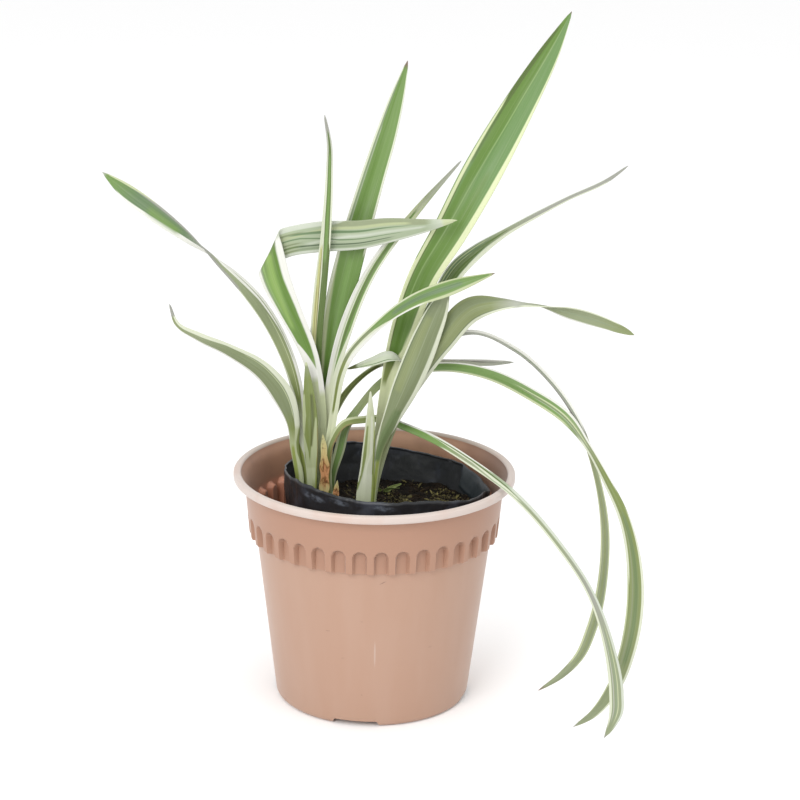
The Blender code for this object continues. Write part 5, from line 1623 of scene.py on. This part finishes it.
# Leaves of the right fan, from the foremost
RIGHT_FAN: tuple[Blade, ...] = (
    leaf("leaf_right_short", Face.UNDER,
         ((0.1, T.PALE), (0.4, T.CREAM), (0.6, T.PALE), (0.8, T.PALE), (1, T.CREAM)),
         (stripe(T.OLIVE, (0.3, 0, 0.06), (0.4, 0.1, 0.22), (0.55, 0.1, 0.36), (0.75, 0.16, 0.34),
                 soft=0.1),
          stripe(T.CREAM, (0.36, 0.22, 0.42), (0.46, 0.4, 0.5), (0.56, 0.6, 0.84), (0.82, 0.55, 0.8),
                 soft=0.08),
          stripe(T.CREAM, (0.36, 0, 0.06), (0.9, 0, 0.1)),
          stripe(T.YELLOW_GREEN, (0.1, 0.86, 1), (0.45, 0.88, 1), (0.72, 0.94, 1)),
          stripe(T.DARK_OLIVE, (0.42, 0.87, 0.91), (0.66, 0.9, 0.94))),
         ((-7, -9.4, 112, 8), (-6, -9.4, 134, 10.8), (-4.3, -9.7, 160, 8.3), (-3, -10, 184, 6),
          (-3, -10, 206, 1)), "leaf_pale", tip=T.CREAM),
    leaf("leaf_right_front", Face.UNDER,
         ((0.08, T.PALE), (0.22, T.SHEATH), (0.32, T.GREY_OLIVE), (0.42, T.GREY_GREEN),
          (0.86, T.GREY_GREEN), (0.95, T.SAGE), (1, T.SILVER)),
         (stripe(T.CREAM, (0.08, 0, 0.5), (0.24, 0, 0.44), (0.34, 0, 0.2), (0.4, 0, 0.06), soft=0.1),
          stripe(T.YELLOW_GREEN, (0.08, 0.52, 0.92), (0.2, 0.52, 0.92), (0.3, 0.55, 0.85), soft=0.12),
          stripe(T.DULL_GREEN, (0.28, 0.3, 0.86), (0.38, 0.2, 0.88), (0.48, 0.45, 0.84), soft=0.25),
          stripe(T.CREAM, (0.38, 0, 0.05), (0.93, 0, 0.05)),
          stripe(T.DARK_LINE, (0.55, 0.06, 0.08), (0.9, 0.065, 0.085)),
          stripe(T.SAGE, (0.5, 0.44, 0.47), (0.93, 0.45, 0.48)),
          stripe(T.GREY_OLIVE, (0.56, 0.12, 0.4), (0.85, 0.14, 0.4), soft=0.2),
          stripe(T.CREAM, (0.4, 0.97, 1), (0.48, 0.84, 1), (0.75, 0.84, 1), (0.93, 0.87, 1), soft=0.05)),
         ((-3, -7, 112, 6), (-1, -7, 143, 5.4), (3, -7.5, 168, 6.4), (10, -9.5, 187, 11),
          (19, -11, 209, 17.1), (26, -12, 227, 18.6), (32.5, -13, 245, 16.7), (38.5, -14, 261, 12.3),
          (45, -15, 278, 1)), tip=T.SILVER, tip_from=0.99, fibre=0.16),
    leaf("leaf_right_wave", Face.UNDER,
         ((0.08, T.PALE), (0.2, T.GREY_OLIVE), (0.35, T.GREY_GREEN), (0.5, T.GREY_OLIVE),
          (0.66, T.GREY_OLIVE), (0.72, T.SILVER), (0.78, T.SAGE), (0.9, T.SAGE), (0.97, T.GREY_OLIVE)),
         (stripe(T.PALE, (0.08, 0, 0.45), (0.2, 0, 0.2), soft=0.1),
          stripe(T.GREY_GREEN, (0.5, 0.28, 0.34), (0.55, 0.14, 0.4), (0.6, 0.1, 0.44), (0.66, 0.12, 0.38),
                 (0.695, 0.16, 0.22), soft=0.12),
          stripe(T.CREAM, (0.3, 0.62, 1), (0.44, 0.85, 1), (0.6, 0.89, 1), (0.71, 0.9, 1), soft=0.05),
          stripe(T.DARK_LINE, (0.42, 0.82, 0.85), (0.6, 0.86, 0.88), (0.7, 0.87, 0.89)),
          stripe(T.WHITE, (0.73, 0, 0.16), (0.8, 0, 0.1), (0.94, 0, 0.05), soft=0.06),
          stripe(T.LINE_GREEN, (0.77, 0.42, 0.47), (0.95, 0.42, 0.46)),
          stripe(T.CREAM, (0.74, 0.84, 1), (0.84, 0.9, 1), (0.95, 0.93, 1), soft=0.05)),
         ((-3, -4.6, 112, 5), (-1, -4.6, 138, 4.8), (6, -4.8, 174, 8), (20, -5.5, 205, 12.7),
          (41, -7, 238, 15.6, 175), (60, -10.5, 261, 15.6, 160), (76, -16, 266, 10.2, 128),
          (92, -20, 267, 6.5, 98), (119, -25, 263.5, 10.4, 32), (140, -28, 258, 7.8, 12),
          (154, -29.5, 253, 3.8, 5), (159, -30, 251, 1, 0)), back_tint=0, rows=200, tip=T.GREY_OLIVE,
         tip_from=0.985),
    leaf("leaf_right_pale_cross", Face.UNDER,
         ((0.1, T.PALE), (0.5, T.SHEATH), (0.7, T.CREAM), (0.76, T.WHITE), (0.92, T.CREAM), (1, T.GREY)),
         (stripe(T.WHITE, (0.76, 0.05, 0.3), (0.94, 0.1, 0.35), soft=0.08),
          stripe(T.DARK_LINE, (0.78, 0.78, 0.84), (0.96, 0.76, 0.86))),
         ((-3, -2.2, 112, 5), (-1, -2.2, 139, 4.8), (8, -1.6, 180, 6.6), (16, -1, 209, 6.8, 172),
          (17.5, -1.5, 222.5, 6.4, 125), (9, -2.6, 226.8, 7.2, 45), (-2, -2.4, 223.4, 5.4, 10),
          (-18, 0, 217.4, 1, 0)), "leaf_pale", tip=T.DARK_OLIVE, tip_from=0.95),
    leaf("leaf_right_thin_droop", Face.UNDER,
         ((0.1, T.PALE), (0.2, T.GREY_OLIVE), (0.36, T.SILVER), (0.57, T.GREY), (0.63, T.SAGE)),
         (stripe(T.WHITE, (0.33, 0, 0.22), (0.57, 0, 0.22), soft=0.06),
          stripe(T.LINE_GREEN, (0.42, 0.28, 0.36), (0.58, 0.28, 0.36)),
          stripe(T.PALE, (0.6, 0, 0.12), (0.93, 0, 0.14)),
          stripe(T.GREY_OLIVE, (0.6, 0.4, 0.62), (0.93, 0.42, 0.62), soft=0.12),
          stripe(T.PALE, (0.6, 0.86, 1), (0.93, 0.86, 1))),
         ((-3, 0.2, 112, 5), (0, 0.2, 138, 4.8), (16, 2, 193.6, 7.5), (36, 3, 229.8, 7, 192),
          (46, 2.8, 238.2, 7.5, 215), (60, 2, 241.7, 7, 230), (87, -1, 232, 7, 230),
          (109, -5, 214, 5.6, 226), (125, -12, 194, 4.3, 212), (139, -21, 160, 3.8, 195),
          (146, -30, 124, 5.3, 185), (146, -36, 100, 5.7), (139, -45, 62, 6.5), (132, -50, 46, 5.9),
          (121, -53, 34, 4.3), (106, -56, 24, 1)), rows=240, tip_from=0.985),
    leaf("leaf_right_tallest", Face.UPPER,
         ((0.08, T.PALE), (0.18, T.YELLOW_CREAM), (0.33, T.YELLOW_CREAM), (0.38, T.DEEP_GREEN),
          (0.46, T.LEAF_GREEN), (0.58, T.MID_GREEN), (0.68, T.JADE)),
         (stripe(T.YELLOW_CREAM, (0.26, 0, 0.14), (0.4, 0, 0.11), (0.5, 0.02, 0.12), (0.7, 0.02, 0.1),
                 (0.8, 0.01, 0.06), (0.9, 0.004, 0.01)),
          stripe(T.OLIVE, (0.275, 0.06, 0.3), (0.295, 0.08, 0.42), (0.32, 0.12, 0.55), soft=0.1),
          stripe(T.DEEP_GREEN, (0.315, 0.14, 0.5), (0.335, 0.14, 0.68), (0.38, 0.12, 0.74), soft=0.08),
          stripe(T.DARK_OLIVE, (0.34, 0.13, 0.155), (0.5, 0.13, 0.15), (0.66, 0.115, 0.13), soft=0.02),
          stripe(T.LEAF_GREEN, (0.32, 0.2, 0.34), (0.5, 0.2, 0.33), (0.6, 0.19, 0.37), (0.7, 0.18, 0.41),
                 (0.8, 0.12, 0.44), (0.9, 0.04, 0.46), (0.98, 0, 0.48), soft=0.06),
          stripe(T.DARK_GREEN, (0.7, 0.115, 0.16), (0.8, 0.07, 0.14), (0.96, 0, 0.2), soft=0.08),
          stripe(T.LIGHT_GREEN, (0.42, 0.32, 0.36), (0.5, 0.335, 0.37), (0.6, 0.38, 0.41),
                 (0.7, 0.42, 0.445), (0.8, 0.45, 0.485), (0.98, 0.475, 0.52), soft=0.03),
          stripe(T.DEEP_GREEN, (0.4, 0.5, 0.7), (0.5, 0.5, 0.74), (0.6, 0.55, 0.75), (0.68, 0.62, 0.7),
                 soft=0.2),
          stripe(T.YELLOW_CREAM, (0.26, 0.72, 1), (0.4, 0.78, 1), (0.5, 0.82, 1), (0.6, 0.85, 1),
                 (0.7, 0.88, 1), (0.8, 0.92, 1), (0.9, 0.95, 1), (0.98, 0.98, 1))),
         ((-3, 2.6, 112, 5), (0, 2.6, 143, 5.1), (7, 3.6, 196, 10.2), (17, 5, 242, 16.4), (28, 6, 275, 19),
          (46, 8, 308, 22.8), (63, 11, 341, 24.8), (84, 16, 380, 20.5), (105, 21, 418, 11.4),
          (117, 24, 441, 1)), rows=200, columns=28, tip_from=0.992, fibre=0.12),
    leaf("leaf_right_narrow_high", Face.UPPER,
         ((0.1, T.PALE), (0.42, T.GREY_OLIVE), (0.53, T.BLUE_GREEN), (0.64, T.BLUE_GREEN), (0.7, T.SAGE),
          (0.8, T.GREY)),
         (stripe(T.MILKY, (0.5, 0, 0.06), (0.7, 0, 0.06), (0.8, 0, 0.12), (0.94, 0, 0.1)),
          stripe(T.SHEATH, (0.5, 0.11, 0.17), (0.66, 0.13, 0.19)),
          stripe(T.DARK_GREEN, (0.5, 0.3, 0.72), (0.6, 0.3, 0.75), (0.66, 0.3, 0.52), (0.71, 0.28, 0.36),
                 soft=0.06),
          stripe(T.SHEATH, (0.5, 0.28, 0.31), (0.62, 0.28, 0.31)),
          stripe(T.CREAM, (0.46, 0.76, 1), (0.6, 0.78, 1), (0.66, 0.62, 1), (0.72, 0.58, 1), (0.8, 0.74, 1),
                 (0.94, 0.84, 1), soft=0.06)),
         ((-2, 5.4, 112, 4), (0, 5.4, 138, 4.6), (12, 8, 196, 6.6), (26, 11, 233, 8.2, -10),
          (37, 13, 256, 9.7, -20), (53, 17, 281.5, 12, -32), (63, 19, 290, 10.3, -40),
          (81, 23, 302, 6.2, -55), (99, 27, 312, 5, -58), (118, 30, 322, 3.7, -60),
          (146, 35, 335, 2.8, -50), (157, 37, 343, 1, -45)), rows=180, tip=T.GREY, tip_from=0.985),
)


@dataclass
class DriedSheath:
    """The dead, papery sheath that clasps the left fan, with a torn scrap beside it."""

    stations: tuple[Station, ...] = (
        (-33, -4.4, 112, 5, 0), (-32, -4.4, 136, 5.6, 0), (-31.6, -4.4, 148, 5.4, 0),
        (-32, -4.3, 160, 4.8, 0), (-32.4, -4.2, 168, 3.8, 0), (-33, -4, 175, 1, 0))
    scrap: tuple[Station, ...] = (
        (-25, -3, 124, 3, 20), (-24.5, -3.6, 131, 5, -20), (-24, -3, 138, 4.4, -40),
        (-23.6, -2.6, 144, 0.8, -50))

    def build(self) -> Item:
        """Make and dress the sheath and its scrap as one piece."""
        builder = MeshBuilder()
        Blade("dried_sheath", self.stations, DryLeaf(), ripple=0.3, keel=0.6).add_to(builder)
        Blade("dry_scrap", self.scrap, DryLeaf(), rows=40, ripple=0.3, keel=0.5).add_to(builder)
        return enlist(builder.build("dead_sheath", DryLeaf().build(), "under"), "dry_sheath", "dried_sheath")


@dataclass
class Seedling:
    """The green seedling that grows on the soil behind the right fan."""

    blades: tuple[tuple[Station, ...], ...] = (
        ((4.5, 33.4, 119, 2.2, 0), (3.5, 32.8, 125.5, 3, -30), (-2, 30.6, 129, 1, -60)),
        ((5.1, 33.6, 119, 2.2, 0), (7.3, 32.8, 125.5, 3.2, 30), (16.2, 29.6, 128, 1, 60)),
        ((4.9, 33.8, 119, 2.2, 0), (8.6, 35.4, 124.5, 3, 0), (17.5, 38.6, 128, 1, 0)))

    def build(self) -> Item:
        """Make and dress the seedling."""
        finish = Greenery("seedling_green", srgb(96, 116, 48), srgb(168, 184, 112), 0.45)
        builder = MeshBuilder()
        for index, stations in enumerate(self.blades):
            Blade("weed_blade", stations, finish, rows=36, columns=12, keel=0.5, edge=0.3).add_to(
                builder, 0.3 + 0.25 * index)
        return enlist(builder.build("seedling", finish.build(), "tint"), "seedling_green", "weed_seedling")


# The studio


@dataclass(frozen=True)
class Light:
    """A square soft light: its place, what it points at, its side and its power in watts."""

    name: str
    place: Point
    target: Point
    side: float
    power: float


@dataclass
class Studio:
    """Pale floor, soft light and the camera."""

    camera_place: Point = (0.015517, -1.432514, 0.642331)
    camera_right: Point = (0.9999, 0.0047, 0.0153)
    camera_up: Point = (-0.016, 0.2965, 0.9549)
    lens: float = 106.583
    sensor: float = 36.0
    clip: Span = (0.05, 50.0)
    floor_half: float = 6.0
    floor_colour: Colour = (0.93, 0.93, 0.93)
    sky: float = 1.03
    lights: tuple[Light, ...] = field(default_factory=lambda: (
        Light("key_light", (-0.75, -1.55, 1.2), (0.0, 0.0, 0.18), 1.0, 20.0),
        Light("fill_light", (1.2, -1.1, 0.8), (0.0, 0.0, 0.15), 1.2, 3.0),
        Light("top_light", (0.2, -0.1, 1.9), (0.0, 0.0, 0.1), 1.3, 6.0)))

    def build_floor(self) -> None:
        """Plain pale floor."""
        graph = Graph("pale_floor")
        material = graph.finish(self.floor_colour, 0.9)
        half = self.floor_half / MM
        corners = np.array([[(x, y, 0.0) for x in (-half, half)] for y in (-half, half)])
        builder = MeshBuilder()
        builder.add_grid(corners)
        builder.build("floor", material)

    def build_lights(self) -> None:
        """Even pale surroundings and the soft lights."""
        world = bpy.data.worlds.new("studio")
        world.use_nodes = True
        background = world.node_tree.nodes["Background"]
        background.inputs["Color"].default_value = (1.0, 1.0, 1.0, 1.0)
        background.inputs["Strength"].default_value = self.sky
        bpy.context.scene.world = world
        for light in self.lights:
            lamp = bpy.data.lights.new(light.name, "AREA")
            lamp.size = light.side
            lamp.energy = light.power
            item = linked(light.name, lamp)
            item.location = light.place
            away = Vector(light.target) - Vector(light.place)
            item.rotation_euler = away.to_track_quat("-Z", "Y").to_euler()

    def build_camera(self) -> None:
        """The camera, at the fitted place and turn."""
        camera = bpy.data.cameras.new("camera")
        camera.sensor_fit = "HORIZONTAL"
        camera.sensor_width = self.sensor
        camera.lens = self.lens
        camera.clip_start, camera.clip_end = self.clip
        item = linked("camera", camera)
        right, up = Vector(self.camera_right).normalized(), Vector(self.camera_up).normalized()
        back = right.cross(up).normalized()
        up = back.cross(right)
        turn = Matrix((right, up, back)).transposed()
        item.matrix_world = Matrix.Translation(self.camera_place) @ turn.to_4x4()
        bpy.context.scene.camera = item

    def build(self) -> None:
        """Set up the studio."""
        self.build_floor()
        self.build_lights()
        self.build_camera()
        bpy.context.scene.view_settings.view_transform = "Standard"


def main() -> None:
    """Build every piece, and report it."""
    logging.basicConfig(level=logging.INFO, format="%(message)s")
    bag = NurseryBag()
    soil = Soil(bag)
    steps: list[Callable] = [Pot().build, bag.build, soil.build, Moss(soil).build, DriedSheath().build,
                             Seedling().build]
    steps += [blade.build for blade in LEFT_FAN + RIGHT_FAN]
    for step in steps:
        step()
    Studio().build()


if __name__ == "__main__":
    main()
